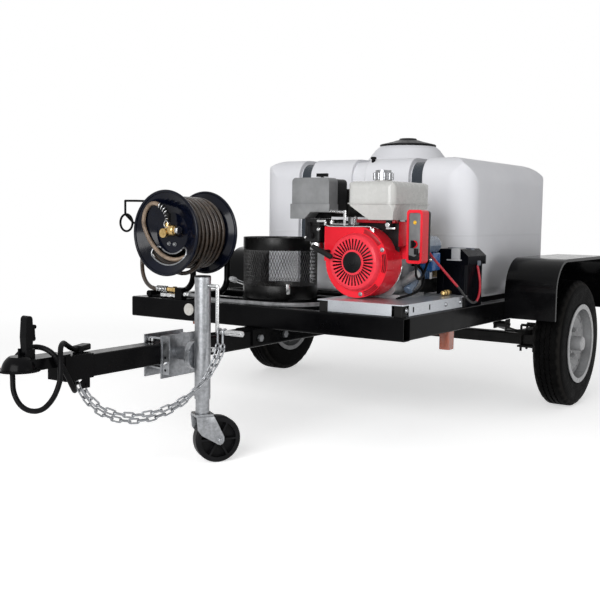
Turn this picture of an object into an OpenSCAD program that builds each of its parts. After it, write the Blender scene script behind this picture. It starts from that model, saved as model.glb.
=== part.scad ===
// Trailer-mounted pressure washer: single-axle trailer with water tank, engine, pump and hose reel.
// Millimetres, +Z up, +X to the rear, origin under the middle of the overall length on the ground.

/* [Deck] */
// Length of the deck frame
deck_len = 1830; // [1600:10:2400]
// Width of the deck frame
deck_w = 1224; // [1180:2:1300]
// Height of the deck's top face above the ground
deck_top = 461; // [450:1:500]
// Distance from the axle forward to the deck's front face
axle_to_front = 1221; // [1200:1:1300]
// Height of the deck tubes
beam_h = 78; // [60:1:90]
// Width of the deck tubes
beam_w = 50; // [40:1:60]
// Corner radius of the deck tubes
beam_r = 7; // [5:1:10]
// Wall of the deck and tongue tubes
tube_wall = 4; // [3:0.5:5]

/* [Tongue and coupler] */
// Side of the square tongue tube
tongue_w = 66; // [60:1:76]
// Distance from the axle forward to the tongue tube's front end
tongue_reach = 2112; // [2050:1:2300]
// How far the tongue tube runs behind the axle
tongue_tail = 60; // [20:5:200]
// Diameter of the tow ball that the coupler takes
ball_d = 50.8; // [47:0.1:60]
// Clearance round the tow ball
ball_gap = 0.3; // [0.2:0.1:1]
// Wall of the pressed coupler
coupler_wall = 5; // [4:0.5:7]
// Distance from the tongue tube's front end forward to the ball's centre
ball_ahead = 150; // [140:1:200]
// Length of the coupler's latch lever
latch_len = 96; // [80:1:120]

/* [Jack] */
// Distance from the axle forward to the jack's upright axis
jack_ahead = 1655; // [1600:1:1700]
// Distance from the trailer's middle to the jack's upright axis
jack_side = 130; // [125:1:150]
// Outer diameter of the jack's outer tube
jack_d = 51; // [48:1:57]
// Clearance between the jack's sliding tubes
slide_gap = 0.3; // [0.2:0.05:0.6]
// Height of the outer tube's top
jack_top = 594; // [560:1:620]
// Height of the outer tube's lower end
jack_low = 207; // [195:1:220]
// Length of the crank's arm
crank_arm = 142; // [100:1:160]
// Diameter of the crank rod
crank_d = 12; // [10:1:16]
// Diameter of the caster wheel
caster_d = 150; // [140:1:152]
// Width of the caster wheel
caster_w = 44; // [34:1:48]
// Distance that the caster wheel trails behind its swivel
caster_trail = 48; // [40:1:60]
// Angle of the caster as it stands
caster_turn = -32; // [-60:1:0]

/* [Wheels and springs] */
// Diameter of the tyres
tyre_d = 533; // [500:1:560]
// Width of the tyres
tyre_w = 120; // [105:1:130]
// Diameter of the rim's bead seat
rim_d = 305; // [300:1:320]
// Distance between the middles of the two tyres
track = 1495; // [1490:1:1560]
// Number of lug nuts on a wheel
lug_count = 5; // [4:1:6]
// Side of the square axle beam
axle_w = 50; // [40:1:60]
// Length of a leaf spring between its eyes
spring_len = 660; // [600:5:720]
// Thickness of one spring leaf
leaf_t = 7; // [6:0.5:9]
// Number of leaves in a spring
leaf_count = 3; // [2:1:4]
// Length of a fender
fender_len = 740; // [700:5:800]
// Width of a fender
fender_w = 203; // [200:1:230]
// Height of the fender's top above the ground
fender_top = 632; // [620:1:680]
// Height of the fender's lower ends above the ground
fender_low = 392; // [380:1:420]
// Radius of the fender's top corners
fender_r = 130; // [100:1:180]
// Thickness of the fender's sheet
fender_t = 3; // [2:0.5:4]

/* [Water tank] */
// Length of the water tank
tank_len = 894; // [800:2:960]
// Width of the water tank
tank_w = 1016; // [960:2:1030]
// Height of the tank's body
tank_h = 572; // [500:2:640]
// Distance from the axle forward to the tank's front
tank_ahead = 508; // [480:1:520]
// Wall of the tank
tank_wall = 6; // [5:1:12]
// Width of a strap groove
groove_w = 62; // [56:1:80]
// Depth of a strap groove
groove_depth = 20; // [12:1:24]
// Distance of each strap groove from the middle
groove_side = 270; // [240:1:300]
// Width of a tank strap
strap_w = 50; // [40:1:52]
// Thickness of a tank strap
strap_t = 3; // [2:0.5:4]
// Diameter of the filling mouth
mouth_d = 230; // [200:1:240]
// Diameter of the dome's foot
dome_d = 366; // [340:1:400]
// Height of the dome
dome_h = 76; // [60:1:100]
// Height of the tank lid
lid_h = 38; // [30:1:50]

/* [Engine] */
// Length of the engine plate
plate_len = 500; // [480:2:505]
// Width of the engine plate
plate_w = 336; // [320:2:350]
// Height of the engine plate with its flange
plate_h = 42; // [36:1:50]
// Thickness of the engine plate's sheet
plate_t = 4; // [3:0.5:5]
// Distance from the axle forward to the recoil cover's front face
engine_ahead = 1128; // [1120:1:1140]
// Distance from the trailer's middle to the crankshaft
shaft_side = 357; // [350:1:365]
// Height of the crankshaft above the engine plate
shaft_h = 128; // [126:1:140]
// Diameter of the crankshaft
shaft_d = 25.4; // [22:0.1:28]
// Running clearance of a shaft in its bore
running_gap = 0.05; // [0.02:0.01:0.1]
// Radius of the fan shroud
shroud_r = 125; // [120:1:126]
// Depth of the fan shroud
shroud_depth = 105; // [95:1:115]
// Number of slots in the recoil cover
slot_count = 36; // [24:1:40]
// Width of a slot in the recoil cover
slot_w = 6; // [4:0.5:7]
// Length of the fuel tank
fuel_len = 275; // [250:5:285]
// Width of the fuel tank
fuel_w = 186; // [170:2:200]
// Height of the fuel tank
fuel_h = 134; // [120:2:140]
// Number of fins on the cylinder
fin_count = 8; // [6:1:9]

/* [Hose reel and basket] */
// Diameter of the reel's flanges
reel_d = 338; // [320:1:344]
// Distance between the rims of the reel's flanges
reel_w = 250; // [240:1:260]
// Diameter of the reel's drum
drum_d = 150; // [120:1:170]
// Distance from the trailer's middle to the reel's axle
reel_side = 458; // [440:1:465]
// Height of the reel's axle above the deck
reel_h = 254; // [246:1:280]
// Outer diameter of the pressure hose
hose_d = 16.5; // [14:0.5:17]
// Gap between neighbouring turns of hose
turn_gap = 0.7; // [0.6:0.1:1.5]
// Turns in the outer layer of hose
turn_count = 10; // [6:1:10]
// Radius of the outer layer at the middle of the hose
wind_r = 136; // [120:1:138]
// Diameter of the reel stand's tubes
stand_d = 25; // [22:1:30]
// Diameter of the basket
basket_d = 300; // [280:2:310]
// Height of the basket
basket_h = 242; // [220:2:260]
// Width of the basket's top band
band_h = 50; // [40:1:60]
// Diamond openings round the basket
mesh_count = 26; // [20:2:30]

/* [Hidden] */
$fn = 48;

// Overall frame: the lamps stand proud at the rear, the coupler's lip is foremost
lamp_proud = 12;
coupler_lip = 57;
deck_rear = deck_len - axle_to_front;
front_reach = tongue_reach + ball_ahead + coupler_lip;
axle_x = (front_reach - deck_rear - lamp_proud) / 2;
deck_low = deck_top - beam_h;
rail_y = deck_w / 2 - beam_w / 2;
wheel_r = tyre_d / 2;
seat_gap = 0.3;

// Shared shapes

// Moves a piece from the axle's frame to the part's frame
module seat() {
  translate([axle_x, 0, 0]) children();
}

module both_sides() {
  children();
  mirror([0, 1, 0]) children();
}

module rounded_rect(w, h, r) {
  square([w - 2 * r, h], center = true);
  square([w, h - 2 * r], center = true);
  for (sx = [-1, 1], sy = [-1, 1])
    translate([sx * (w / 2 - r), sy * (h / 2 - r)]) circle(r);
}

// Extrudes a profile drawn in Y and Z along X, from the origin to +X
module along_x(len) {
  rotate([90, 0, 90]) linear_extrude(len) children();
}

// Extrudes a profile drawn in X and Z along Y, centred
module along_y(len) {
  rotate([90, 0, 0]) linear_extrude(len, center = true) children();
}

// Revolves a profile drawn with its radius along X and its axis along Y about the X axis
module about_x() {
  rotate([0, 90, 0]) rotate_extrude() children();
}

module rod_x(d, len) {
  rotate([0, 90, 0]) cylinder(d = d, h = len);
}

module rod_y(d, len) {
  rotate([-90, 0, 0]) cylinder(d = d, h = len);
}

module box_between(low, high) {
  translate(low) cube(high - low);
}

module tube_profile(w, h, r, wall) {
  difference() {
    rounded_rect(w, h, r);
    rounded_rect(w - 2 * wall, h - 2 * wall, r - wall + 0.5);
  }
}

// A box with its four upright edges rounded
module round_box(low, high, r) {
  size = high - low;
  translate([low[0] + size[0] / 2, low[1] + size[1] / 2, low[2]])
    linear_extrude(size[2]) rounded_rect(size[0], size[1], r);
}

// Tubes swept along a route

function unit(v) = v / norm(v);

function spline_point(a, b, c, d, t) =
  0.5 * (2 * b + (c - a) * t + (2 * a - 5 * b + 4 * c - d) * t * t
    + (3 * b - a - 3 * c + d) * t * t * t);

function pick(route, i) = route[max(0, min(len(route) - 1, i))];

function smooth_route(route, steps) = concat(
  [for (i = [0 : len(route) - 2], k = [0 : steps - 1])
    spline_point(pick(route, i - 1), route[i], route[i + 1], pick(route, i + 2), k / steps)],
  [route[len(route) - 1]]);

function route_tangents(route) =
  [for (i = [0 : len(route) - 1]) unit(pick(route, i + 1) - pick(route, i - 1))];

function carried_normals(tangents, normal, i = 0) = i == len(tangents) ? [] :
  let (n = unit(normal - (normal * tangents[i]) * tangents[i]))
  concat([n], carried_normals(tangents, n, i + 1));

function first_normal(t) = unit(cross(t, abs(t[2]) < 0.8 ? [0, 0, 1] : [1, 0, 0]));

module swept_tube(route, d, sides) {
  tangents = route_tangents(route);
  normals = carried_normals(tangents, first_normal(tangents[0]));
  rings = len(route);
  points = [for (i = [0 : rings - 1], k = [0 : sides - 1])
    let (a = 360 * k / sides)
    route[i] + d / 2 * (cos(a) * normals[i] + sin(a) * cross(tangents[i], normals[i]))];
  walls = [for (i = [0 : rings - 2], k = [0 : sides - 1])
    let (a = i * sides + k, b = i * sides + (k + 1) % sides)
    each [[a, b + sides, b], [a, a + sides, b + sides]]];
  start_cap = [for (k = [1 : sides - 2]) [0, k, k + 1]];
  last = (rings - 1) * sides;
  end_cap = [for (k = [1 : sides - 2]) [last, last + k + 1, last + k]];
  polyhedron(points, concat(walls, start_cap, end_cap));
}

// Deck frame

cross_at = [-970, -680, -490, 0, 340];
bracket_front = -1275;
bracket_rear = -1055;
bracket_t = 6;
bracket_low = deck_low - tongue_w + 8;
frame_bolt_d = 16;
frame_bolt_at = [-1236, -1084];
frame_bolt_z = deck_low - tongue_w / 2;

module side_rails() color("#141416") seat() {
  len = deck_len - 2 * beam_w;
  for (side = [-1, 1])
    translate([-axle_to_front + beam_w, side * rail_y, deck_top - beam_h / 2])
      along_x(len) tube_profile(beam_w, beam_h, beam_r, tube_wall);
}

module cross_tube(x, len) {
  translate([x, 0, deck_top - beam_h / 2])
    along_y(len) tube_profile(beam_w, beam_h, beam_r, tube_wall);
}

module cross_beams() color("#141416") seat() {
  cross_tube(-axle_to_front + beam_w / 2, deck_w);
  cross_tube(deck_rear - beam_w / 2, deck_w);
  for (x = cross_at)
    cross_tube(x, deck_w - 2 * beam_w);
  for (side = [-1, 1])
    difference() {
      translate([0, side * (tongue_w + bracket_t) / 2, 0])
        box_between([bracket_front, -bracket_t / 2, bracket_low], [bracket_rear, bracket_t / 2, deck_low]);
      frame_bolt_holes();
    }
}

module frame_bolt_holes() {
  for (x = frame_bolt_at)
    translate([x, -tongue_w, frame_bolt_z]) rod_y(frame_bolt_d + 2 * seat_gap, 2 * tongue_w);
}

module tongue_beam() color("#141416") seat() {
  difference() {
    translate([-tongue_reach, 0, deck_low - tongue_w / 2])
      along_x(tongue_reach + tongue_tail) tube_profile(tongue_w, tongue_w, beam_r, tube_wall);
    frame_bolt_holes();
  }
  chain_anchor();
}

anchor_x = -tongue_reach + 64;
anchor_z = deck_low - tongue_w - 20;
anchor_d = 7;

// Lugs and a cross pin under the tongue hold the first links of the safety chains
module chain_anchor() {
  lug_half = 26;
  lug_t = 5;
  for (side = [-1, 1])
    translate([anchor_x, side * lug_half, 0])
      box_between([-14, -lug_t / 2, anchor_z - 10], [14, lug_t / 2, deck_low - tongue_w]);
  translate([anchor_x, -lug_half - lug_t, anchor_z]) rod_y(anchor_d, 2 * (lug_half + lug_t));
}

bolt_head_h = 10;

module frame_bolts() color("#b9bcc0") seat() {
  outer = tongue_w / 2 + bracket_t;
  for (x = frame_bolt_at)
    translate([x, 0, frame_bolt_z]) {
      translate([0, -outer - bolt_head_h, 0]) rod_y(frame_bolt_d, 2 * (outer + bolt_head_h));
      for (side = [-1, 1])
        translate([0, side * (outer + bolt_head_h / 2), 0])
          rotate([90, 0, 0]) cylinder(d = frame_bolt_d * 1.7, h = bolt_head_h, center = true, $fn = 6);
    }
}

// Coupler

ball_x = -tongue_reach - ball_ahead;
ball_r = ball_d / 2 + ball_gap;
coupler_low = 362;
coupler_top = 402;
ball_z = coupler_top - coupler_wall - ball_r;
dome_r = ball_r + 21;
sleeve_rear = -tongue_reach + 84;
latch_x = ball_x + 26;
latch_pin_d = 10;
latch_pin_z = coupler_top + 10;
latch_ear_y = 16;

module coupler_body() color("#101012") seat() {
  neck_half = 36;
  wall_half = tongue_w / 2 + coupler_wall;
  skirt_t = 6;
  difference() {
    union() {
      translate([ball_x, 0, 0]) rotate_extrude() intersection() {
        translate([0, coupler_low]) square([dome_r, coupler_top - coupler_low]);
        translate([0, ball_z - 8]) circle(dome_r);
      }
      translate([ball_x, 0, coupler_low]) cylinder(r = coupler_lip, h = skirt_t);
      box_between([ball_x, -neck_half, coupler_low], [-tongue_reach, neck_half, coupler_top - 8]);
      box_between([-tongue_reach - 20, -wall_half, deck_low - tongue_w], [sleeve_rear, wall_half,
        deck_low + coupler_wall]);
      for (side = [-1, 1])
        translate([latch_x - 14, side * latch_ear_y - 3, coupler_top - 12])
          cube([28, 6, 30]);
    }
    translate([ball_x, 0, ball_z]) sphere(r = ball_r);
    translate([ball_x, 0, coupler_low - 1]) cylinder(r = ball_r, h = ball_z - coupler_low + 1);
    box_between([-tongue_reach, -tongue_w / 2, deck_low - tongue_w - 1],
      [sleeve_rear + 1, tongue_w / 2, deck_low]);
    translate([latch_x, -50, latch_pin_z]) rod_y(latch_pin_d + 2 * running_gap, 100);
  }
}

module coupler_latch() color("#101012") seat() translate([latch_x, 0, latch_pin_z]) {
  half = latch_ear_y - 3 - seat_gap;
  translate([0, -latch_ear_y - 2, 0]) rod_y(latch_pin_d, 2 * latch_ear_y + 4);
  along_y(2 * half) union() {
    circle(9);
    polygon([[-9, 0], [9, 0], [14, 40], [12, latch_len - 6], [-8, latch_len - 6], [-12, 40]]);
    translate([2, latch_len - 8]) circle(10);
  }
  along_y(half) {
    translate([20, 34]) circle(7);
    translate([24, 66]) circle(6);
    polygon([[10, 22], [26, 32], [24, 66], [19, 66], [16, 44], [10, 44]]);
  }
}

// Light lead: leaves the tongue's underside, loops round the coupler and is tucked in on top

lead_d = 15;
lead_sides = 8;
lead_route = [
  [-2086, -12, 315.5], [-2086.8, -14.5, 304.5], [-2092, -25.5, 292.5], [-2103, -40.5, 289], [-2117, -51, 299],
  [-2131, -54.5, 319.5], [-2144, -54.5, 342], [-2158, -53, 366], [-2171.5, -48, 390], [-2184, -26.5, 412],
  [-2193, 9, 419], [-2205, 43, 411], [-2216, 68, 388], [-2222, 78, 358], [-2222, 78, 330],
  [-2227, 67.5, 290], [-2228, 39, 258], [-2222, 2, 245], [-2213, -37, 254], [-2202, -66, 286],
  [-2191, -79, 328], [-2185, -77, 361], [-2176, -67, 393], [-2158, -48, 418.5], [-2132, -28, 426.5],
  [-2106, -12, 417], [-2080, -2, 404], [-2062, 4, 398.5], [-2048, 9.5, 397.2]
];
plug_len = 58;

module lead_loop() color("#0d0d0e") seat()
  swept_tube(smooth_route(lead_route, 2), lead_d, lead_sides);

plug_turn = 22;
plug_w = 30;
plug_h = 18;

module lead_plug() color("#1b1b1d") seat()
  translate(lead_route[len(lead_route) - 1]) rotate([0, 0, plug_turn]) translate([1, 0, 0]) {
    along_x(plug_len) rounded_rect(plug_w, plug_h, 4);
    for (i = [-1.5 : 1.5])
      translate([plug_len, 6 * i, 0]) rod_x(4, 8);
  }

// Jack

jack_x = -jack_ahead;
jack_y = -jack_side;
jack_wall = 3;
leg_d = jack_d - 2 * jack_wall - 2 * slide_gap;
leg_low = 161;
leg_high = 470;
pivot_z = 345;
pivot_d = 44;
plate_half = 90;
plate_low = 272;
plate_high = 408;
jack_plate_t = 5;
jack_bolt_d = 10;
jack_bolt_x = [jack_x - 72, jack_x + 72];
jack_bolt_z = [deck_low + 13, deck_low - tongue_w - 13];
flange_t = 8;
flange_d = 92;
tongue_face = tongue_w / 2;
pivot_end = jack_side - jack_d / 2 - flange_t - seat_gap;

lock_t = 6;
pin_x = jack_x + 36;
pin_z = pivot_z + 16;
pin_d = 9;

module jack_bracket() color("#b4b7ba") seat() {
  difference() {
    union() {
      box_between([jack_x - plate_half, -tongue_face - jack_plate_t, plate_low],
        [jack_x + plate_half, -tongue_face, plate_high]);
      translate([jack_x, -pivot_end, pivot_z]) rod_y(pivot_d, pivot_end - tongue_face);
      translate([jack_x, -pivot_end, pivot_z]) rod_y(flange_d, lock_t);
      for (side = [-1, 1])
        translate([jack_x + side * (plate_half - 6) - 3, -tongue_face - 34, plate_low + 14])
          cube([6, 34, plate_high - plate_low - 14]);
    }
    translate([jack_x, -jack_side, pivot_z]) rod_y(22, jack_side);
    for (x = jack_bolt_x, z = jack_bolt_z)
      translate([x, -tongue_w, z]) rod_y(jack_bolt_d + 2 * seat_gap, 2 * tongue_w);
    for (x = jack_bolt_x)
      translate([x, -tongue_w, pivot_z]) rod_y(11, tongue_w);
    pin_hole();
  }
  difference() {
    box_between([jack_x - plate_half, tongue_face, plate_low],
      [jack_x + plate_half, tongue_face + jack_plate_t, plate_high]);
    for (x = jack_bolt_x, z = jack_bolt_z)
      translate([x, 0, z]) rod_y(jack_bolt_d + 2 * seat_gap, 2 * tongue_w);
    translate([jack_x, 0, pivot_z]) rod_y(30, tongue_w);
  }
  for (x = jack_bolt_x, z = jack_bolt_z) {
    outer = tongue_face + jack_plate_t;
    translate([x, -outer - 16, z]) rod_y(jack_bolt_d, 2 * outer + 24);
    for (y = [-outer - 4, outer + 4])
      translate([x, y, z]) rotate([90, 0, 0]) cylinder(d = jack_bolt_d * 1.8, h = 8, center = true, $fn = 6);
  }
}

module pin_hole() {
  translate([pin_x, -jack_side, pin_z]) rod_y(pin_d + 2 * seat_gap, jack_side);
}

module jack_tube() color("#b9bcbf") seat() difference() {
  union() {
    translate([jack_x, jack_y, jack_low]) cylinder(d = jack_d, h = jack_top - jack_low - 10);
    translate([jack_x, jack_y, jack_top - 10]) cylinder(d = jack_d + 1, h = 10);
    translate([jack_x, jack_y + jack_d / 2 - 6, pivot_z]) rod_y(flange_d, flange_t + 6);
  }
  translate([jack_x, jack_y, jack_low - 1]) cylinder(d = leg_d + 2 * slide_gap, h = jack_top - jack_low - 13);
  translate([jack_x, jack_y - jack_d, crank_z]) rod_y(crank_d + 2 * running_gap, jack_d);
  pin_hole();
}

module jack_leg() color("#c3c6c8") seat() difference() {
  translate([jack_x, jack_y, leg_low]) cylinder(d = leg_d, h = leg_high - leg_low);
  translate([jack_x, jack_y, leg_low + 30]) cylinder(d = leg_d - 5, h = leg_high - leg_low);
  translate([jack_x, jack_y, leg_low - 1]) cylinder(d = stem_d + 2 * running_gap, h = 26);
}

crank_z = 568;
crank_out = 34;
crank_tip = jack_y - jack_d / 2 - crank_out - 34;
grip_len = 66;
grip_d = 17;

module jack_crank() color("#b9bcbf") seat() translate([jack_x, 0, crank_z]) {
  arm_y = jack_y - jack_d / 2 - crank_out;
  translate([0, arm_y, 0]) rod_y(crank_d, jack_y - 6 - arm_y);
  translate([0, arm_y, 0]) sphere(d = crank_d);
  translate([0, arm_y, -crank_arm]) cylinder(d = crank_d, h = crank_arm);
  translate([0, arm_y, -crank_arm]) sphere(d = crank_d);
  translate([0, crank_tip, -crank_arm]) rod_y(crank_d, arm_y - crank_tip);
  translate([0, crank_tip - grip_len, -crank_arm]) rod_y(grip_d, grip_len);
}

module jack_pin() color("#c8cacc") seat() translate([pin_x, 0, pin_z]) {
  tip = -pivot_end - 2 * seat_gap;
  translate([0, -jack_side - 6, 0]) rod_y(pin_d, jack_side + 6 + tip);
  translate([0, -jack_side - 16, 0]) rod_y(pin_d + 7, 10);
}

// Safety chains hang from the tongue and hook over the jack's crank

chain_wire = 5.5;
chain_pitch = 30;
chain_inner_w = 8;
chain_slack = 0.6;
hook_wire = 7;
hook_eye_r = 9;
hook_drop = 44;
chain_sides = [-12, 12];
hook_sides = [crank_tip + 4, crank_tip + 24];
chain_start = [for (y = chain_sides) [anchor_x + 3, y - 1.4, anchor_z - 9.2]];
chain_end = [for (y = hook_sides) [jack_x - 16, y, crank_z - crank_arm - hook_drop - hook_eye_r - 11]];
chain_curves = [
  [chain_start[0], [-1990, -42, 135], [-1790, hook_sides[0], 180], chain_end[0]],
  [chain_start[1], [-1975, -16, 100], [-1770, hook_sides[1], 150], chain_end[1]]
];

function bezier(p, t) =
  pow(1 - t, 3) * p[0] + 3 * pow(1 - t, 2) * t * p[1] + 3 * (1 - t) * t * t * p[2] + pow(t, 3) * p[3];

function total(list, i = 0) = i == len(list) ? 0 : list[i] + total(list, i + 1);

fine_step = 0.0025;

function curve_length(p) =
  total([for (t = [0 : fine_step : 1 - fine_step / 2]) norm(bezier(p, t + fine_step) - bezier(p, t))]);

// Walks along a curve and notes a place each time one link's step has been covered
function chain_places(p, step, t = 0, left = 0) = t > 1 + fine_step / 2 ? [] :
  let (run = norm(bezier(p, t + fine_step) - bezier(p, t)))
  left <= 0 ? concat([t + left / run * fine_step], chain_places(p, step, t + fine_step, left + step - run))
    : chain_places(p, step, t + fine_step, left - run);

module chain_link(pitch) {
  bend_r = (chain_inner_w + chain_wire) / 2;
  straight = pitch + chain_wire - 2 * bend_r;
  for (side = [-1, 1]) {
    translate([-straight / 2, side * bend_r, 0]) rod_x(chain_wire, straight);
    translate([side * straight / 2, 0, 0])
      rotate([0, 0, -side * 90]) rotate_extrude(angle = 180)
        translate([bend_r, 0]) circle(d = chain_wire, $fn = 16);
  }
}

// Hook over the crank's elbow, with an eye for the chain's last link
module chain_hook() {
  hook_r = crank_d / 2 + seat_gap + hook_wire / 2;
  rotate([90, 0, 0]) rotate_extrude(angle = 195) translate([hook_r, 0]) circle(d = hook_wire);
  translate([-hook_r, 0, -hook_drop + hook_eye_r]) cylinder(d = hook_wire, h = hook_drop - hook_eye_r);
  translate([-hook_r, 0, -hook_drop]) rotate([90, 0, 0])
    rotate_extrude() translate([hook_eye_r, 0]) circle(d = chain_wire);
}

module safety_chains() color("#a9adb2") seat() {
  for (p = chain_curves) {
    whole = curve_length(p);
    steps = 2 * ceil((whole / (chain_pitch - chain_slack) - 1) / 2) + 1;
    step = whole / steps;
    places = chain_places(p, step * 0.9995);
    for (i = [0 : len(places) - 1]) {
      t = places[i];
      tangent = unit(bezier(p, t + 0.01) - bezier(p, t - 0.01));
      normal = first_normal(tangent);
      side = cross(tangent, normal);
      at = bezier(p, t);
      multmatrix([
        [tangent[0], normal[0], side[0], at[0]],
        [tangent[1], normal[1], side[1], at[1]],
        [tangent[2], normal[2], side[2], at[2]]
      ]) rotate([i % 2 * 90 + 90, 0, 0]) chain_link(step + chain_slack);
    }
  }
  for (y = hook_sides)
    translate([jack_x, y, crank_z - crank_arm]) chain_hook();
}

// Caster

fork_top = leg_low;
stem_d = 16;
fork_t = 5;
fork_half = caster_w / 2 + 4;
caster_z = caster_d / 2;
axle_bolt_d = 10;

module at_caster() {
  seat() translate([jack_x, jack_y, 0]) rotate([0, 0, caster_turn]) children();
}

module caster_fork() color("#c3c6c8") at_caster() {
  cap_h = 8;
  cap_half = fork_half + fork_t;
  translate([0, 0, fork_top]) cylinder(d = stem_d, h = 22);
  translate([0, 0, fork_top - cap_h]) linear_extrude(cap_h - seat_gap)
    rounded_rect(2 * cap_half, 2 * cap_half, 8);
  translate([0, 0, fork_top - cap_h]) cylinder(d = stem_d, h = cap_h);
  for (side = [-1, 1])
    translate([0, side * (fork_half + fork_t / 2), 0]) along_y(fork_t) union() {
      polygon([[-cap_half + 2, fork_top - cap_h], [cap_half - 4, fork_top - cap_h],
        [caster_trail + 15, caster_z + 2], [caster_trail - 12, caster_z - 9]]);
      translate([caster_trail, caster_z]) circle(15);
    }
  translate([caster_trail, -fork_half - fork_t - 6, caster_z])
    rod_y(axle_bolt_d, 2 * (fork_half + fork_t + 6));
}

web_count = 6;

module caster_wheel() color("#17171a") at_caster() translate([caster_trail, 0, caster_z]) rotate([90, 0, 0]) {
  rim_in = caster_d / 2 - 17;
  hub_r = 15;
  difference() {
    rotate_extrude() difference() {
      translate([caster_d / 4, 0]) rounded_rect(caster_d / 2, caster_w, 8);
      translate([-20, -caster_w]) square([20, 2 * caster_w]);
      square([8, 2 * caster_w], center = true);
    }
    cylinder(d = axle_bolt_d + 2 * running_gap, h = 2 * caster_w, center = true);
    for (side = [-1, 1])
      translate([0, 0, side * caster_w / 2]) difference() {
        cylinder(r = rim_in, h = caster_w - 10, center = true);
        cylinder(r = hub_r, h = caster_w, center = true);
        for (i = [0 : web_count / 2 - 1])
          rotate([0, 0, 180 * i / (web_count / 2)]) cube([caster_d, 6, caster_w], center = true);
      }
  }
}

// Axle, springs and fenders

axle_len = track - tyre_w - 40;
leaf_w = 45;
spring_r = 1250;
spring_low = wheel_r + axle_w / 2;
eye_d = 26;
spindle_d = 30;

module axle_beam() color("#161618") seat() {
  translate([0, 0, wheel_r]) {
    along_y(axle_len) rounded_rect(axle_w, axle_w, 6);
    translate([0, -track / 2 - 36, 0]) rod_y(spindle_d, track + 72);
  }
}

module leaf_arc(inner_r, half_angle) {
  rotate([90, 0, 0]) rotate([0, 0, -90 - half_angle])
    rotate_extrude(angle = 2 * half_angle, $fn = 96)
      translate([inner_r + leaf_t / 2, 0]) square([leaf_t, leaf_w], center = true);
}

module leaf_springs() color("#131315") seat()
  for (side = [-1, 1])
    translate([0, side * rail_y, spring_low + spring_r + leaf_count * leaf_t]) {
      half = asin(spring_len / 2 / spring_r);
      for (i = [0 : leaf_count - 1])
        leaf_arc(spring_r + i * leaf_t, half * (1 - 0.28 * i));
      for (end = [-1, 1])
        rotate([0, -end * half, 0]) translate([0, -leaf_w / 2, -spring_r + eye_d / 2 - leaf_t]) difference() {
          rod_y(eye_d, leaf_w);
          translate([0, -1, 0]) rod_y(eye_d - 2 * leaf_t, leaf_w + 2);
        }
    }

hanger_t = 5;
u_bolt_d = 10;
clamp_t = 8;

module spring_hardware() color("#121214") seat()
  for (side = [-1, 1]) translate([0, side * rail_y, 0]) {
    half = asin(spring_len / 2 / spring_r);
    spring_mid = spring_low + spring_r + leaf_count * leaf_t;
    eye_r = spring_r - eye_d / 2 + leaf_t;
    for (end = [-1, 1]) {
      at = [end * eye_r * sin(half), spring_mid - eye_r * cos(half)];
      for (y = [-1, 1])
        translate([at[0], y * (leaf_w / 2 + seat_gap + hanger_t / 2), 0])
          box_between([-20, -hanger_t / 2, at[1] - 18], [20, hanger_t / 2, deck_low]);
      translate([at[0], -leaf_w / 2 - hanger_t - 8, at[1]])
        rod_y(eye_d - 2 * leaf_t - 2 * seat_gap, leaf_w + 2 * hanger_t + 16);
    }
    clamp_z = wheel_r - axle_w / 2;
    translate([0, 0, clamp_z - clamp_t]) box_between([-50, -40, 0], [50, 40, clamp_t - seat_gap]);
    for (x = [-1, 1], y = [-1, 1])
      translate([x * (axle_w / 2 + u_bolt_d), y * (leaf_w / 2 + u_bolt_d / 2 + 1), clamp_z - clamp_t - 18])
        cylinder(d = u_bolt_d, h = axle_w + leaf_t * leaf_count + 42);
    for (x = [-1, 1])
      translate([x * (axle_w / 2 + u_bolt_d), 0, spring_low + leaf_t * leaf_count + 12])
        box_between([-u_bolt_d / 2, -leaf_w / 2 - 6, 0], [u_bolt_d / 2, leaf_w / 2 + 6, u_bolt_d]);
  }

module fender_outline(inset) {
  half = fender_len / 2 - inset;
  top = fender_top - inset;
  r = fender_r - inset;
  difference() {
    translate([-half, 0]) square([2 * half, top]);
    for (side = [-1, 1])
      translate([side * half - (side > 0 ? r : 0), top - r]) square([r, r + 1]);
  }
  for (side = [-1, 1])
    translate([side * (half - r), top - r]) circle(r, $fn = 72);
}

fender_in = deck_w / 2;
bead_d = 12;

module fenders() color("#0f0f10") seat() both_sides() {
  translate([0, -fender_in - fender_w / 2, 0]) along_y(fender_w) difference() {
    fender_outline(0);
    fender_outline(fender_t);
    translate([-fender_len, 0]) square([2 * fender_len, fender_low]);
  }
  translate([0, -fender_in - fender_w - bead_d / 4, 0]) along_y(bead_d / 2) difference() {
    fender_outline(0);
    fender_outline(bead_d);
    translate([-fender_len, 0]) square([2 * fender_len, fender_low]);
  }
  translate([0, -fender_in - fender_t / 2, 0]) along_y(fender_t) difference() {
    fender_outline(fender_t);
    translate([0, wheel_r]) circle(wheel_r + 25, $fn = 96);
    translate([-fender_len, 0]) square([2 * fender_len, fender_low]);
  }
}

// Wheels

groove_count = 3;
bead_half = 50;

module tyre() color("#131315") rotate([90, 0, 0]) rotate_extrude($fn = 96) difference() {
  shoulder = 24;
  bead = 10;
  box_outline([rim_d / 2, -tyre_w / 2], [wheel_r, tyre_w / 2], [bead, shoulder, shoulder, bead]);
  for (i = [1 : groove_count])
    translate([wheel_r, (i - (groove_count + 1) / 2) * tyre_w / 6]) square([12, 5], center = true);
}

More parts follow.
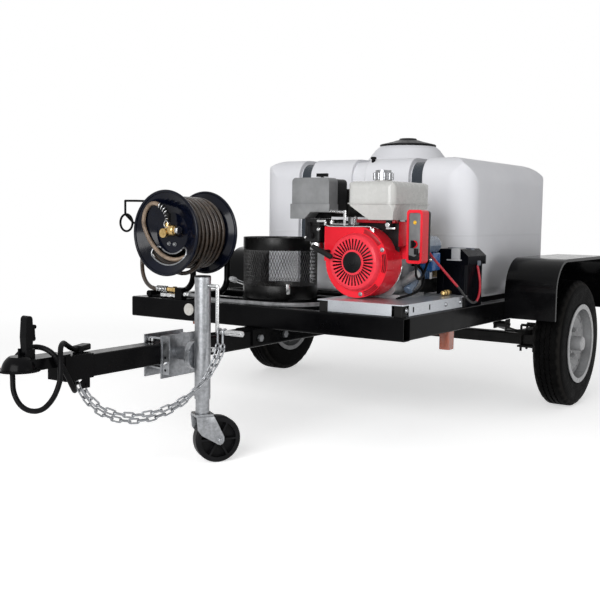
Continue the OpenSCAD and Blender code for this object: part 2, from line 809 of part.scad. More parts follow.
module wheel_rim() color("#c9cbcd") rotate([90, 0, 0]) {
  seat_r = rim_d / 2 - seat_gap;
  flange_r = rim_d / 2 + 14;
  bolt_r = 57;
  difference() {
    rotate_extrude($fn = 96) {
      for (side = [-1, 1])
        translate([seat_r - 6, side * (bead_half + 12) - 1.5]) square([flange_r - seat_r + 6, 3]);
      translate([seat_r - 4, -bead_half - 12]) square([4, 2 * bead_half + 24]);
      polygon([[46, 14], [92, 14], [112, 30], [132, 30], [seat_r - 2, 8], [seat_r - 2, 3], [128, 25],
        [114, 25], [94, 9], [46, 9]]);
    }
    for (i = [0 : lug_count - 1])
      rotate([0, 0, 360 * i / lug_count]) translate([bolt_r, 0, 0]) cylinder(d = 14, h = 60, center = true);
    for (i = [0 : 7])
      rotate([0, 0, 45 * i]) translate([122, 0, 0]) cylinder(d = 13, h = 90, center = true);
  }
  difference() {
    rotate_extrude() polygon([[0, 72], [26, 72], [30, 68], [32, 22], [44, 20], [44, 9], [76, 8.7], [76, -2],
      [40, -4], [36, -50], [0, -50]]);
    translate([0, 0, -51]) cylinder(d = spindle_d + 2 * running_gap, h = 102);
  }
  for (i = [0 : lug_count - 1])
    rotate([0, 0, 360 * i / lug_count]) translate([bolt_r, 0, 14]) {
      cylinder(d = 21, h = 18, $fn = 6);
      translate([0, 0, 18]) cylinder(d = 12, h = 6);
    }
}

module at_left_wheel() {
  seat() translate([0, -track / 2, wheel_r]) children();
}

module at_right_wheel() {
  seat() mirror([0, 1, 0]) translate([0, -track / 2, wheel_r]) children();
}

module left_tyre() at_left_wheel() tyre();
module left_rim() at_left_wheel() wheel_rim();
module right_tyre() at_right_wheel() tyre();
module right_rim() at_right_wheel() wheel_rim();

// Lamps

reflector_d = 46;
reflector_y = 309;
tail_lamp_y = 480;
marker_x = -842;

module lamps() color("#b5442f") seat() {
  lamp_z = deck_top - beam_h / 2;
  translate([-axle_to_front, reflector_y, lamp_z + 6]) rotate([0, -90, 0]) {
    cylinder(d = reflector_d, h = 5);
    translate([0, 0, 5]) cylinder(d = reflector_d - 10, h = 2);
  }
  for (side = [-1, 1]) {
    translate([deck_rear, side * tail_lamp_y, lamp_z]) {
      rod_x(beam_h - 8, lamp_proud - 4);
      translate([lamp_proud - 4, 0, 0]) rod_x(beam_h - 20, 4);
    }
    translate([marker_x, side * rail_y, 0])
      round_box([-22, -20, deck_low - 66], [22, 20, deck_low], 5);
  }
}

// Water tank

tank_rear = tank_len - tank_ahead;
tank_mid = tank_rear - tank_len / 2;
tank_top = deck_top + tank_h;
tank_rear_r = 150;
tank_front_r = 80;
tank_side_r = 105;
tank_low_r = 45;
tank_plan_r = 95;
valley_w = 64;
valley_depth = 12;
lid_x = -70;

// A box outline with its own radius at each corner: low left, low right, high right, high left
module box_outline(low, high, radii) {
  polygon([[low[0] + radii[0], low[1]], [high[0] - radii[1], low[1]], [high[0], low[1] + radii[1]],
    [high[0], high[1] - radii[2]], [high[0] - radii[2], high[1]], [low[0] + radii[3], high[1]],
    [low[0], high[1] - radii[3]], [low[0], low[1] + radii[0]]]);
  corners = [low, [high[0], low[1]], high, [low[0], high[1]]];
  inward = [[1, 1], [-1, 1], [-1, -1], [1, -1]];
  for (i = [0 : 3])
    translate(corners[i] + radii[i] * inward[i]) circle(radii[i], $fn = 72);
}

module tank_side(inset) {
  box_outline([-tank_ahead + inset, deck_top + inset], [tank_rear - inset, tank_top - inset],
    [tank_low_r - inset, tank_low_r - inset, tank_rear_r - inset, tank_front_r - inset]);
}

module tank_face(inset) {
  half = tank_w / 2 - inset;
  box_outline([-half, deck_top + inset], [half, tank_top - inset],
    [tank_low_r - inset, tank_low_r - inset, tank_side_r - inset, tank_side_r - inset]);
}

module tank_plan(inset) {
  translate([tank_mid, 0]) rounded_rect(tank_len - 2 * inset, tank_w - 2 * inset, tank_plan_r - inset);
}

module tank_block(inset) {
  intersection() {
    along_y(tank_w) tank_side(inset);
    translate([-tank_ahead, 0, 0]) along_x(tank_len) tank_face(inset);
    translate([0, 0, deck_top]) linear_extrude(tank_h) tank_plan(inset);
  }
}

module tank_groove(y, w, depth) {
  translate([0, y, 0]) along_y(w) difference() {
    translate([-tank_ahead - 50, deck_top - 50]) square([tank_len + 100, tank_h + 100]);
    tank_side(depth);
  }
}

module tank_form() {
  difference() {
    tank_block(0);
    for (side = [-1, 1])
      tank_groove(side * groove_side, groove_w, groove_depth);
    tank_groove(0, valley_w, valley_depth);
  }
}

dome_root = groove_depth + 20;

module dome_form() {
  mouth = mouth_d / 2;
  rise = dome_root + dome_h;
  translate([lid_x, 0, tank_top - dome_root]) rotate_extrude($fn = 72)
    polygon([[0, 0], [dome_d / 2, 0], [dome_d / 2, dome_root + 12], [mouth + 30, rise - 14],
      [mouth + 12, rise], [0, rise]]);
}

// The grooves are pressed into the outside only, so the wall is thinnest behind them
module water_tank() color("#e9eaec") seat() difference() {
  union() {
    tank_form();
    dome_form();
  }
  tank_block(groove_depth + tank_wall);
  translate([lid_x, 0, tank_top - dome_root - 20]) cylinder(d = mouth_d, h = dome_root + dome_h + 40);
}

module tank_lid() color("#141417") seat() translate([lid_x, 0, tank_top + dome_h + seat_gap]) {
  rib_count = 20;
  lid_r = mouth_d / 2 + 10;
  rotate_extrude($fn = 72) polygon([[0, 6], [lid_r, 0], [lid_r, lid_h - 12], [lid_r - 6, lid_h - 6],
    [lid_r - 26, lid_h - 6], [lid_r - 30, lid_h - 10], [40, lid_h - 10], [36, lid_h], [0, lid_h]]);
  for (i = [0 : rib_count - 1])
    rotate([0, 0, 360 * i / rib_count]) translate([lid_r - 1, -5, 2]) cube([5, 10, lid_h - 16]);
}

module tank_straps() color("#1d2a3c") seat()
  for (side = [-1, 1])
    translate([0, side * groove_side, 0]) along_y(strap_w) difference() {
      tank_side(groove_depth - strap_t - seat_gap);
      tank_side(groove_depth - seat_gap);
      translate([-tank_ahead, deck_top - 1]) square([tank_len, groove_depth + tank_low_r]);
    }

// Engine plate

plate_front = -axle_to_front + 18;
plate_rear = plate_front + plate_len;
plate_out = -deck_w / 2 + 12;
plate_in = plate_out + plate_w;
plate_top = deck_top + plate_h;
notch = 42;

module engine_plate() color("#c2c5c9") seat() difference() {
  box_between([plate_front, plate_out, deck_top + 2], [plate_rear, plate_in, plate_top]);
  box_between([plate_front + plate_t, plate_out + plate_t, deck_top + 1],
    [plate_rear - plate_t, plate_in - plate_t, plate_top - plate_t]);
  for (x = [plate_front, plate_rear - notch], y = [plate_out, plate_in - notch])
    box_between([x - 1, y - 1, deck_top], [x + notch + 1, y + notch + 1, plate_top - plate_t]);
}

module isolators() color("#0f0f10") seat()
  for (x = [plate_front, plate_rear - notch], y = [plate_out, plate_in - notch])
    round_box([x + 4, y + 4, deck_top], [x + notch - 4, y + notch - 4, plate_top - plate_t], 5);

// Engine

engine_front = -engine_ahead;
shaft_y = -shaft_side;
shaft_z = plate_top + shaft_h;
cover_depth = 24;
shroud_front = engine_front + cover_depth;
shroud_rear = shroud_front + shroud_depth;
shroud_t = 3;
case_len = 200;
case_rear = shroud_rear + case_len;
case_half = 100;
case_top = shaft_z + 92;
cylinder_tilt = 22;
fin_w = 138;
exhaust_d = 36;
oil_tube_d = 32;

module at_shaft(x = 0) {
  seat() translate([x, shaft_y, shaft_z]) children();
}

fin_step = 12;
head_out = case_half + 14 + fin_count * fin_step;

module crankcase() color("#b3b5b7") difference() {
  union() {
    at_shaft(shroud_rear) translate([0, 0, (case_top - plate_top - 10) / 2 - shaft_h + 10])
      along_x(case_len) rounded_rect(2 * case_half, case_top - plate_top - 10, 26);
    seat() box_between([shroud_rear + 6, shaft_y - case_half - 16, plate_top],
      [case_rear - 6, shaft_y + case_half + 16, plate_top + 12]);
    at_shaft(shroud_rear + case_len / 2) rotate([cylinder_tilt, 0, 0]) {
      translate([-62, 0, -62]) cube([124, head_out + 1, 124]);
      for (i = [0 : fin_count - 1])
        translate([-fin_w / 2, head_out - (fin_count - i) * fin_step, -fin_w / 2]) cube([fin_w, 5, fin_w]);
      translate([0, head_out, 0]) rotate([-90, 0, 0])
        linear_extrude(34) rounded_rect(fin_w - 8, fin_w - 20, 20);
    }
    for (x = [shroud_rear + 30, case_rear - 40], y = [-60, 20])
      at_shaft(x) translate([0, y, case_top - shaft_z - 20]) cylinder(d = 22, h = fuel_low - case_top + 20);
    at_shaft(case_rear) rod_x(150, 8);
    at_shaft(shroud_rear + case_len / 2) translate([0, 140, 100])
      cylinder(d = exhaust_d, h = muffler_low - seat_gap - shaft_z - 100);
    at_shaft(shroud_rear + 60) translate([0, -case_half + 8, 50 - shaft_h]) rotate([62, 0, -14])
      cylinder(d = oil_tube_d, h = 84);
  }
  at_shaft(shroud_rear - 1) rod_x(shaft_d + 2 * running_gap, case_len + 20);
}

blade_count = 16;
wheel_d = 2 * shroud_r - 34;
flywheel_x = shroud_rear - 64;

module flywheel() color("#5d6064") {
  at_shaft(flywheel_x) {
    rod_x(wheel_d, 14);
    translate([14, 0, 0]) rod_x(wheel_d - 60, 36);
    for (i = [0 : blade_count - 1])
      rotate([360 * i / blade_count, 0, 0]) translate([-14, -2, wheel_d / 2 - 36]) cube([14, 4, 34]);
    translate([-10, 0, 0]) rod_x(shaft_d, pump_front + pump_bore - flywheel_x);
  }
}

corner_out = 132;
corner_up = 122;
rope_d = 5;
rope_y = 112;
rope_z = 34;
pull_out = 46;
pull_d = 19;
pull_tilt = 24;

module shroud_outline(inset) {
  circle(shroud_r - inset, $fn = 96);
  translate([0, 0]) square([corner_out - inset, corner_up - inset]);
}

module fan_shroud() color("#b3151d") at_shaft() difference() {
  translate([shroud_front, 0, 0]) along_x(shroud_depth) shroud_outline(0);
  translate([shroud_front + shroud_t, 0, 0]) along_x(shroud_depth) shroud_outline(shroud_t);
  translate([shroud_front - 1, 0, 0]) rod_x(2 * cover_r - 12, 10);
  translate([shroud_front - 1, rope_y, rope_z]) rod_x(rope_d + 4 * seat_gap, 10);
}

cover_r = 102;
slot_in = 44;
slot_out = 82;

module recoil_cover() color("#c4161f") at_shaft(engine_front) {
  difference() {
    about_x() difference() {
      polygon([[0, 0], [cover_r - 16, 0], [cover_r - 8, 4], [cover_r - 4, 12], [cover_r, cover_depth],
        [0, cover_depth]]);
      polygon([[-1, 3], [cover_r - 17, 3], [cover_r - 11, 7], [cover_r - 7, 13],
        [cover_r - 3, cover_depth + 1], [-1, cover_depth + 1]]);
    }
    for (i = [0 : slot_count - 1])
      rotate([360 * i / slot_count, 0, 0]) translate([-1, -slot_w / 2, slot_in])
        cube([6, slot_w, slot_out - slot_in]);
  }
  difference() {
    translate([-2, 0, 0]) rod_x(2 * slot_in - 8, 2);
    translate([-3, 0, 0]) rod_x(2 * slot_in - 20, 2);
  }
}

grip_bar = 76;
rope_len = 96;

module recoil_handle() color("#151517") at_shaft(shroud_front) translate([0, rope_y, rope_z]) {
  translate([-14, 0, 0]) rod_x(rope_d, rope_len + 14);
  translate([-pull_out, 0, 0]) {
    rod_x(14, pull_out - 1);
    rotate([pull_tilt, 0, 0]) {
      translate([0, -grip_bar / 2, 0]) rod_y(pull_d, grip_bar);
      for (side = [-1, 1])
        translate([0, side * grip_bar / 2, 0]) sphere(d = pull_d);
    }
  }
}

fuel_low = plate_top + 276;
fuel_front = engine_front + 34;
fuel_y = -402;
fuel_r = 24;
fuel_seam = 58;

// An outline on the ground line with rounded top corners
module arch_outline(w, h, r) {
  translate([-w / 2, 0]) square([w, h - r]);
  translate([-w / 2 + r, 0]) square([w - 2 * r, h]);
  for (side = [-1, 1])
    translate([side * (w / 2 - r), h - r]) circle(r);
}

// Fuel tank: an upper shell with upright walls and a lower shell that narrows to its foot
module fuel_tank() color("#dddcd5") seat() translate([fuel_front + fuel_len / 2, fuel_y, fuel_low]) {
  foot_in = 82;
  foot_near = 10;
  foot_end = 16;
  floor_t = 10;
  seam_t = 3;
  upper_h = fuel_h - fuel_seam;
  translate([0, 0, fuel_seam]) difference() {
    intersection() {
      linear_extrude(upper_h + 1) rounded_rect(fuel_len, fuel_w, fuel_r);
      translate([-fuel_len, 0, 0]) along_x(2 * fuel_len) arch_outline(fuel_w, upper_h, fuel_r);
      along_y(2 * fuel_w) arch_outline(fuel_len, upper_h, fuel_r);
    }
    translate([neck_x - fuel_len / 2, 0, floor_t]) cylinder(d = neck_d - 8, h = fuel_h);
  }
  translate([0, 0, fuel_seam - seam_t]) linear_extrude(seam_t)
    rounded_rect(fuel_len + 14, fuel_w + 14, fuel_r + 7);
  intersection() {
    linear_extrude(fuel_seam - seam_t) rounded_rect(fuel_len, fuel_w, fuel_r);
    translate([-fuel_len, 0, 0]) along_x(2 * fuel_len)
      polygon([[-fuel_w / 2 + foot_near, -1], [fuel_w / 2 - foot_in, -1], [fuel_w / 2 + 1, fuel_seam],
        [-fuel_w / 2 - 1, fuel_seam]]);
    along_y(2 * fuel_w)
      polygon([[-fuel_len / 2 + foot_end, -1], [fuel_len / 2 - foot_end, -1], [fuel_len / 2 + 1, fuel_seam],
        [-fuel_len / 2 - 1, fuel_seam]]);
  }
  translate([neck_x - fuel_len / 2, 0, fuel_h - 2]) difference() {
    cylinder(d = neck_d, h = 8);
    translate([0, 0, -1]) cylinder(d = neck_d - 8, h = 10);
  }
}

neck_x = 92;
neck_d = 60;
cap_h = 34;

neck_top = fuel_low + fuel_h + 6;

module fuel_cap() color("#8d9093") seat() translate([fuel_front + neck_x, fuel_y, neck_top + seat_gap]) {
  lobe_count = 10;
  cylinder(d = neck_d + 6, h = cap_h - 8);
  translate([0, 0, cap_h - 8]) cylinder(d = neck_d - 4, h = 8);
  for (i = [0 : lobe_count - 1])
    rotate([0, 0, 360 * i / lobe_count]) translate([neck_d / 2 + 3, 0, 0]) cylinder(d = 9, h = cap_h - 10);
}

air_front = engine_front + 34;
air_split = air_front + 58;
air_rear = air_front + 126;
air_in = -74;
air_out = -234;
air_low = plate_top + 294;
air_high = plate_top + 424;
air_lip = 16;

module air_outline(inset) {
  box_outline([air_out + inset, air_low + inset], [air_in - inset, air_high - inset], [12, 12, 16, 16]);
}

module air_cleaner() color("#161619") seat() {
  translate([air_split, 0, 0]) along_x(air_rear - air_split) air_outline(3);
  box_between([air_split, air_out + 44, air_low - air_lip], [air_split + 30, air_in - 60, air_low + 6]);
  translate([air_split + 20, (air_in + air_out) / 2, air_high - 4]) {
    cylinder(d = 12, h = 14);
    translate([-7, -22, 10]) cube([14, 44, 12]);
  }
}

module air_cover() color("#77797b") seat() difference() {
  translate([air_front, 0, 0]) along_x(air_split - air_front) union() {
    air_outline(0);
    translate([air_out - 3, air_low - air_lip]) square([air_in - air_out + 8, 36 + air_lip]);
  }
  translate([air_front - 1, 0, 0]) along_x(60) polygon([[air_out - 10, air_low - 20],
    [air_in - 58, air_low - 20], [air_in - 82, air_low + 6], [air_out - 10, air_low + 6]]);
}

link_t = 4;
link_z = shaft_z + shroud_r + seat_gap + link_t;
link_front = shroud_front + 6;
throttle_y = -300;
choke_y = -162;
choke_z = link_z - 40;
carb_y = -162;
carb_half = 34;
carb_rear = shroud_rear + case_len / 2 - fin_w / 2 - seat_gap;

module carburettor() color("#2a2b2d") seat() {
  box_between([link_front, -345, link_z - link_t], [link_front + 74, carb_y, link_z]);
  round_box([link_front + 6, carb_y - carb_half, link_z - 62], [link_front + 88, carb_y + carb_half,
    air_low - air_lip - seat_gap], 10);
  translate([link_front + 44, carb_y, link_z - 96]) cylinder(d = 52, h = 36);
  translate([link_front + 44, carb_y, link_z - 104]) cylinder(d = 18, h = 10);
  box_between([link_front + 60, carb_y - 25, link_z - 50], [carb_rear, carb_y + 25, link_z - 14]);
  translate([link_front - 6, choke_y, choke_z]) rod_x(26, 14);
}

module throttle_lever() color("#9c9ea1") seat() translate([link_front + 20, throttle_y, link_z + seat_gap]) {
  linear_extrude(3) {
    circle(11);
    translate([-8, 0]) square([16, 66]);
  }
  translate([0, 62, 0]) cylinder(d = 16, h = 14);
}

module choke_lever() color("#1c1c1e") seat() translate([link_front - 6 - seat_gap, choke_y, choke_z]) {
  rotate([0, -90, 0]) cylinder(d = 20, h = 4);
  translate([-4, -5, 0]) cube([4, 10, 44]);
  translate([-10, -7, 34]) cube([10, 14, 14]);
}

muffler_low = shaft_z + 156;
muffler_h = 104;

module muffler() color("#1a1a1b") seat() {
  translate([air_rear + 14, 0, 0]) along_x(150)
    box_outline([-238, muffler_low], [-76, muffler_low + muffler_h], [24, 24, 24, 24]);
  translate([air_rear + 120, -100, muffler_low + muffler_h / 2]) rod_y(30, 44);
}

box_front = shroud_front + 34;
box_y = shaft_y - 208;
box_half = 30;
box_low = plate_top + 130;
box_high = plate_top + 312;
key_z = box_low + 66;
box_depth = 46;
arm_y = box_y - 12;
arm_t = 5;

module control_box() color("#bf1720") seat() {
  difference() {
    translate([box_front, 0, 0]) along_x(box_depth)
      box_outline([box_y - box_half, box_low], [box_y + box_half, box_high], [12, 12, 12, 12]);
    translate([box_front - 1, 0, 0]) along_x(5)
      box_outline([box_y - box_half + 8, box_low + 10], [box_y + box_half - 8, box_high - 10], [8, 8, 8, 8]);
  }
  translate([box_front + 4 - 6, box_y, key_z]) rod_x(26, 6);
  box_between([box_front + box_depth, arm_y, box_low + 10], [shroud_rear + 10, arm_y + arm_t, box_low + 70]);
  box_between([shroud_rear + 10 - arm_t, arm_y, box_low + 10],
    [shroud_rear + 10, shaft_y - case_half - seat_gap, box_low + 70]);
}

module key_switch() color("#1a1a1c") seat() translate([box_front - 2 - seat_gap, box_y, key_z]) {
  rotate([0, -90, 0]) cylinder(d = 18, h = 5);
  translate([-20, -2, -13]) cube([16, 4, 26]);
}

starter_d = 66;
starter_y = shaft_y - case_half - starter_d / 2 - 8;
starter_z = plate_top + 188;
starter_len = 158;

module starter_motor() color("#7d8ba0") seat() {
  translate([shroud_rear + 44, starter_y, starter_z]) {
    rod_x(starter_d, starter_len);
    translate([starter_len, 0, 0]) about_x() intersection() {
      translate([0, -30]) square([starter_d / 2, 60]);
      circle(starter_d / 2);
    }
    translate([-3, 0, 0]) rod_x(starter_d - 12, 4);
  }
  box_between([shroud_rear + 52, starter_y, starter_z - 22],
    [shroud_rear + 116, shaft_y - case_half, starter_z + 22]);
}

// Pump on the engine's output shaft

pump_front = case_rear + 8;
pump_len = 132;
pump_bore = 44;
pump_half = 76;
pump_low = shaft_z - 86;
pump_high = shaft_z + 62;
head_len = 66;

module pump_body() color("#3f6ea8") difference() {
  union() {
    at_shaft(pump_front) rod_x(146, 12);
    seat() translate([pump_front + 12, shaft_y, (pump_low + pump_high) / 2])
      along_x(pump_len - 12) rounded_rect(2 * pump_half, pump_high - pump_low, 22);
    for (i = [0 : 5])
      seat() translate([pump_front + 28 + i * 16, shaft_y, (pump_low + pump_high) / 2])
        along_x(6) rounded_rect(2 * pump_half + 10, pump_high - pump_low + 10, 26);
  }
  at_shaft(pump_front - 1) rod_x(shaft_d + 2 * running_gap, pump_bore + 3);
}

unloader_y = shaft_y + 40;
outlet_z = pump_low + 24;

module pump_head() color("#b08d4a") seat() {
  start = pump_front + pump_len;
  translate([start, shaft_y, (pump_low + pump_high) / 2])
    along_x(head_len) rounded_rect(2 * pump_half - 14, pump_high - pump_low - 26, 12);
  for (i = [-1, 0, 1], z = [pump_low + 42, pump_high - 42])
    translate([start + head_len, shaft_y + i * 42, z]) rod_x(32, 10);
  translate([start + 34, unloader_y, pump_high - 14]) {
    cylinder(d = 36, h = 44);
    translate([0, 0, 44]) cylinder(d = 24, h = 22);
    translate([0, 0, 66]) cylinder(d = 44, h = 20);
  }
  translate([start + 30, shaft_y + pump_half - 8, outlet_z]) rod_y(24, outlet_out);
}

outlet_out = 30;

// Battery

battery_front = -690;
battery_rear = -526;
battery_out = -594;
battery_in = -452;
battery_h = 178;
battery_lid_h = 34;

module battery_box() color("#101012") seat() {
  low = [battery_front + 8, battery_out + 8, deck_top];
  high = [battery_rear - 8, battery_in - 8, deck_top + battery_h];
  round_box(low, high, 10);
  for (y = [battery_out + 34, battery_in - 34])
    box_between([battery_front + 3, y - 6, deck_top + 6],
      [battery_front + 8, y + 6, deck_top + battery_h - 20]);
  translate([0, 0, deck_top + battery_h]) difference() {
    translate([battery_front, 0, 0]) along_x(battery_rear - battery_front)
      polygon([[battery_out, -24], [battery_in, -24], [battery_in, 8], [battery_in - 16, battery_lid_h],
        [battery_out + 30, battery_lid_h], [battery_out, 8]]);
    translate([0, 0, -25]) round_box([battery_front + 8 - seat_gap, battery_out + 8 - seat_gap, 0],
      [battery_rear - 8 + seat_gap, battery_in - 8 + seat_gap, 25], 10);
  }
}

cable_d = 9;
cable_sides = 8;
cable_route = [
  [-862, -518.1, 664.2], [-861, -525, 655], [-850, -541, 632], [-820, -571, 586], [-784, -598, 540],
  [-752, -612, 505], [-718, -618, 484], [-684, -618, 476], [-650, -617, 484], [-620, -613, 515],
  [-604, -605, 555], [-597, -595, 592], [-596, -591.2, 606], [-596, -591, 614.6]
];

module battery_cable() color("#a81e28") seat()
  swept_tube(smooth_route(cable_route, 2), cable_d, cable_sides);

// Basket for the garden hose

basket_x = -850;
basket_y = 150;
basket_wall = 3;
basket_floor = 24;
mesh_rows = 4;
mesh_low = 44;

module basket() color("#17171a") seat() translate([basket_x, basket_y, deck_top]) {
  r = basket_d / 2;
  mesh_h = basket_h - band_h - mesh_low;
  row_h = mesh_h / mesh_rows;
  hole_w = 3.14159 * basket_d / mesh_count - 7;
  difference() {
    cylinder(r = r, h = basket_h, $fn = 96);
    translate([0, 0, basket_floor]) cylinder(r = r - basket_wall, h = basket_h, $fn = 96);
    for (row = [0 : mesh_rows - 1], i = [0 : mesh_count - 1])
      rotate([0, 0, 360 * (i + row % 2 / 2) / mesh_count])
        translate([r - 20, 0, mesh_low + row_h * (row + 0.5)]) along_x(40)
          polygon([[-hole_w / 2, 0], [0, -row_h / 2 + 3], [hole_w / 2, 0], [0, row_h / 2 - 3]]);
  }
  translate([-18, -r + 8, basket_floor / 2 + 8]) rotate([90, 0, -35]) cylinder(d = 22, h = 60);
}

// Hose reel

reel_front = -axle_to_front + 20;
reel_rear = reel_front + reel_w;
reel_z = deck_top + reel_h;
rim_r = reel_d / 2;
dish = 46;
reel_shaft_d = 30;
flange_sheet = 3;
stand_gap = 14;
stand_half = 92;
stand_bend = 60;
stand_x = reel_rear + stand_gap + stand_d / 2;

module at_reel(x = 0) {
  seat() translate([x, reel_side, reel_z]) children();
}

module stand_tube() {
  low = deck_top + stand_d / 2;
  translate([reel_front + 10, 0, low]) rod_x(stand_d, stand_x - stand_bend - reel_front - 10);
  translate([stand_x - stand_bend, 0, low + stand_bend]) rotate([90, 0, 0]) rotate([0, 0, -90])
    rotate_extrude(angle = 90) translate([stand_bend, 0]) circle(d = stand_d);
  translate([stand_x, 0, low + stand_bend]) cylinder(d = stand_d, h = reel_z + 40 - low - stand_bend);
}

hook_d = 9;
hose_x = reel_front - 1;
block_y = reel_side - stand_half + 6;
block_half = 17;

module hook_rod(route) {
  for (i = [0 : len(route) - 2]) {
    step = route[i + 1] - route[i];
    turn = [0, acos(step[2] / norm(step)), atan2(step[1], step[0])];
    translate(route[i]) {
      rotate(turn) cylinder(d = hook_d, h = norm(step));
      sphere(d = hook_d);
    }
  }
  translate(route[len(route) - 1]) sphere(d = hook_d);
}

hook_x = reel_front + 12;
hook_y = reel_side + rim_r + 8;
hook_z = reel_z + 37;

module reel_stand() color("#121214") seat() {
  for (side = [-1, 1])
    translate([0, reel_side + side * stand_half, 0]) stand_tube();
  difference() {
    translate([stand_x - 4, reel_side, reel_z]) along_x(8) rounded_rect(2 * stand_half, 96, 12);
    at_shaft_hole();
  }
  difference() {
    translate([stand_x - 20, reel_side, reel_z]) rod_x(reel_shaft_d + 24, 44);
    at_shaft_hole();
  }
  box_between([reel_front + 16, reel_side - stand_half, deck_top],
    [reel_front + 56, reel_side + stand_half, deck_top + 8]);
  box_between([hose_x - 14, block_y - block_half, deck_top],
    [hose_x + 14, block_y + block_half, deck_top + 46]);
  hook_rod([[stand_x, reel_side + stand_half, hook_z], [stand_x, hook_y, hook_z], [hook_x, hook_y, hook_z]]);
  hook_rod([[hook_x, hook_y, hook_z], [hook_x, hook_y + 46, hook_z + 34], [hook_x, hook_y + 46, hook_z + 88],
    [hook_x, hook_y + 6, hook_z + 88]]);
  translate([hook_x, hook_y + 40, hook_z]) rotate([0, 90, 0])
    rotate_extrude() translate([34, 0]) circle(d = hook_d);
}

module at_shaft_hole() {
  translate([stand_x - 60, reel_side, reel_z]) rod_x(reel_shaft_d + 2 * running_gap, 120);
}

module dished_flange() {
  about_x() {
    polygon([[reel_shaft_d / 2 - 2, dish], [drum_d / 2 + 6, dish], [rim_r - 8, 6],
      [rim_r - 8, 6 + flange_sheet * 1.6], [drum_d / 2 + 6, dish + flange_sheet],
      [reel_shaft_d / 2 - 2, dish + flange_sheet]]);
    translate([rim_r - 6, 7]) circle(6);
  }
}

kidney_r = 104;
kidney_d = 44;
kidney_half = 42;

module reel_drum() color("#141417") {
  at_reel(reel_front) difference() {
    dished_flange();
    for (a = [-kidney_half : 14 : kidney_half])
      rotate([180 + a, 0, 0]) translate([0, 0, kidney_r]) rod_x(kidney_d, dish + 10);
  }
  at_reel(reel_rear) mirror([1, 0, 0]) dished_flange();
  difference() {
    at_reel(reel_front + dish) rod_x(drum_d, reel_w - 2 * dish);
    at_reel(reel_front) rod_x(drum_d - 8, reel_w);
  }
  at_reel(reel_front + dish - 2) rod_x(reel_shaft_d, stand_x + 30 - reel_front - dish + 2);
}

wind_pitch = hose_d + turn_gap;
wind_len = turn_count * wind_pitch;
wind_start = reel_front + (reel_w - wind_len) / 2;
rings_per_turn = 24;
hose_sides = 6;
core_r = wind_r - hose_d / 2 - seat_gap;
core_front = dish + 32;
core_rear = reel_w - dish - flange_sheet - 1;

wind_route = [for (i = [0 : turn_count * rings_per_turn])
  let (turn = i / rings_per_turn, a = 360 * turn)
  [wind_start + turn * wind_pitch, reel_side + wind_r * cos(a), reel_z + wind_r * sin(a)]];

wind_self_gap = min([for (i = [0 : rings_per_turn - 1], k = [-1, 0, 1])
  norm(wind_route[i + 2] - wind_route[i + 2 + rings_per_turn + k])]) - hose_d;
echo(wind_self_gap = wind_self_gap);

// Outer layer of hose over a plain core that stands for the layers below
module reel_hose() color("#4a3c32") {
  seat() swept_tube(wind_route, hose_d, hose_sides);
  at_reel(reel_front + core_front) difference() {
    rod_x(2 * core_r, core_rear - core_front);
    translate([-1, 0, 0]) rod_x(drum_d + 2 * seat_gap, reel_w);
  }
}

jumper_sides = 8;
jumper_route = [
  [-34, -8, 40], [-34, -8, 54], [-34, -3, 74], [-34, 22, 102], [-38, 66, 116], [-39, 102, 90], [-35, 120, 40],
  [-27, 106, -14], [-23, 76, -54], [-21, 42, -82], [-16, 10, -98], [-4, -22, -104], [12, -46, -96],
  [20, -56, -90]
];
boot_d = 24;

module reel_jumper() color("#8c7762") at_reel(reel_front + dish) {
  swept_tube(smooth_route(jumper_route, 2), hose_d, jumper_sides);
  translate(jumper_route[0]) for (i = [0 : 2])
    translate([0, 0, 5 + i * 12]) cylinder(d = boot_d - 2 * i, h = 8);
}

module reel_swivel() color("#b58a3e") at_reel(reel_front + dish - 2 - seat_gap) {
  port_x = -32;
  translate([-48, 0, 0]) rod_x(26, 48);
  translate([-52, 0, 0]) rod_x(36, 14);
  translate([port_x, -44, 12]) rod_y(24, 44);
  translate([port_x, -54, 12]) rotate([-90, 0, 0]) cylinder(d = 32, h = 14, $fn = 6);
  translate([port_x, jumper_route[0][1], 0]) cylinder(d = 20, h = jumper_route[0][2] - 2 * seat_gap);
}

// Hoses on the deck

supply_sides = 8;
supply_d = 15;
fitting_len = 30;
supply_route = [
  [hose_x, block_y - block_half - fitting_len - 2, 482], [-1203, 290, 480], [-1202, 240, 473],
  [-1200, 160, 470], [-1199, 60, 470], [-1196, -40, 470], [-1178, -110, 470], [-1130, -160, 470],
  [-1060, -186, 470], [-985, -196, 470], [-900, -192, 470], [-800, -184, 472], [-740, -180, 484],
  [-700, -184, 516], [-682, -204, 548], [-680, -240, 569]
];

module supply_hose() color("#6b6d70") seat() {
  swept_tube(smooth_route(supply_route, 2), supply_d, supply_sides);
  translate([hose_x, block_y - block_half - fitting_len - 1, 482]) rod_y(22, fitting_len);
}

guard_len = 58;
coupler_len = 46;
coupler_z = 497;
coupler_y = block_y + block_half + seat_gap + guard_len + coupler_len;
tail_route = [
  [-1150, 612, 717], [-1150, 612.5, 690], [-1152, 616, 655], [-1156, 618, 620], [-1164, 612, 583],
  [-1177, 594, 548], [-1190, 566, 520], [-1199, 534, 503], [hose_x, coupler_y + 14, coupler_z],
  [hose_x, coupler_y + 1, coupler_z]
];

module hose_tail() color("#4a3c32") seat()
  swept_tube(smooth_route(tail_route, 2), hose_d, jumper_sides);

module hose_coupler() color("#b58a3e") seat() translate([hose_x, coupler_y, coupler_z]) mirror([0, 1, 0]) {
  rod_y(22, guard_len);
  translate([0, guard_len, 0]) rod_y(19, coupler_len - 20);
  translate([0, guard_len + coupler_len - 20, 0]) rod_y(26, 20);
}

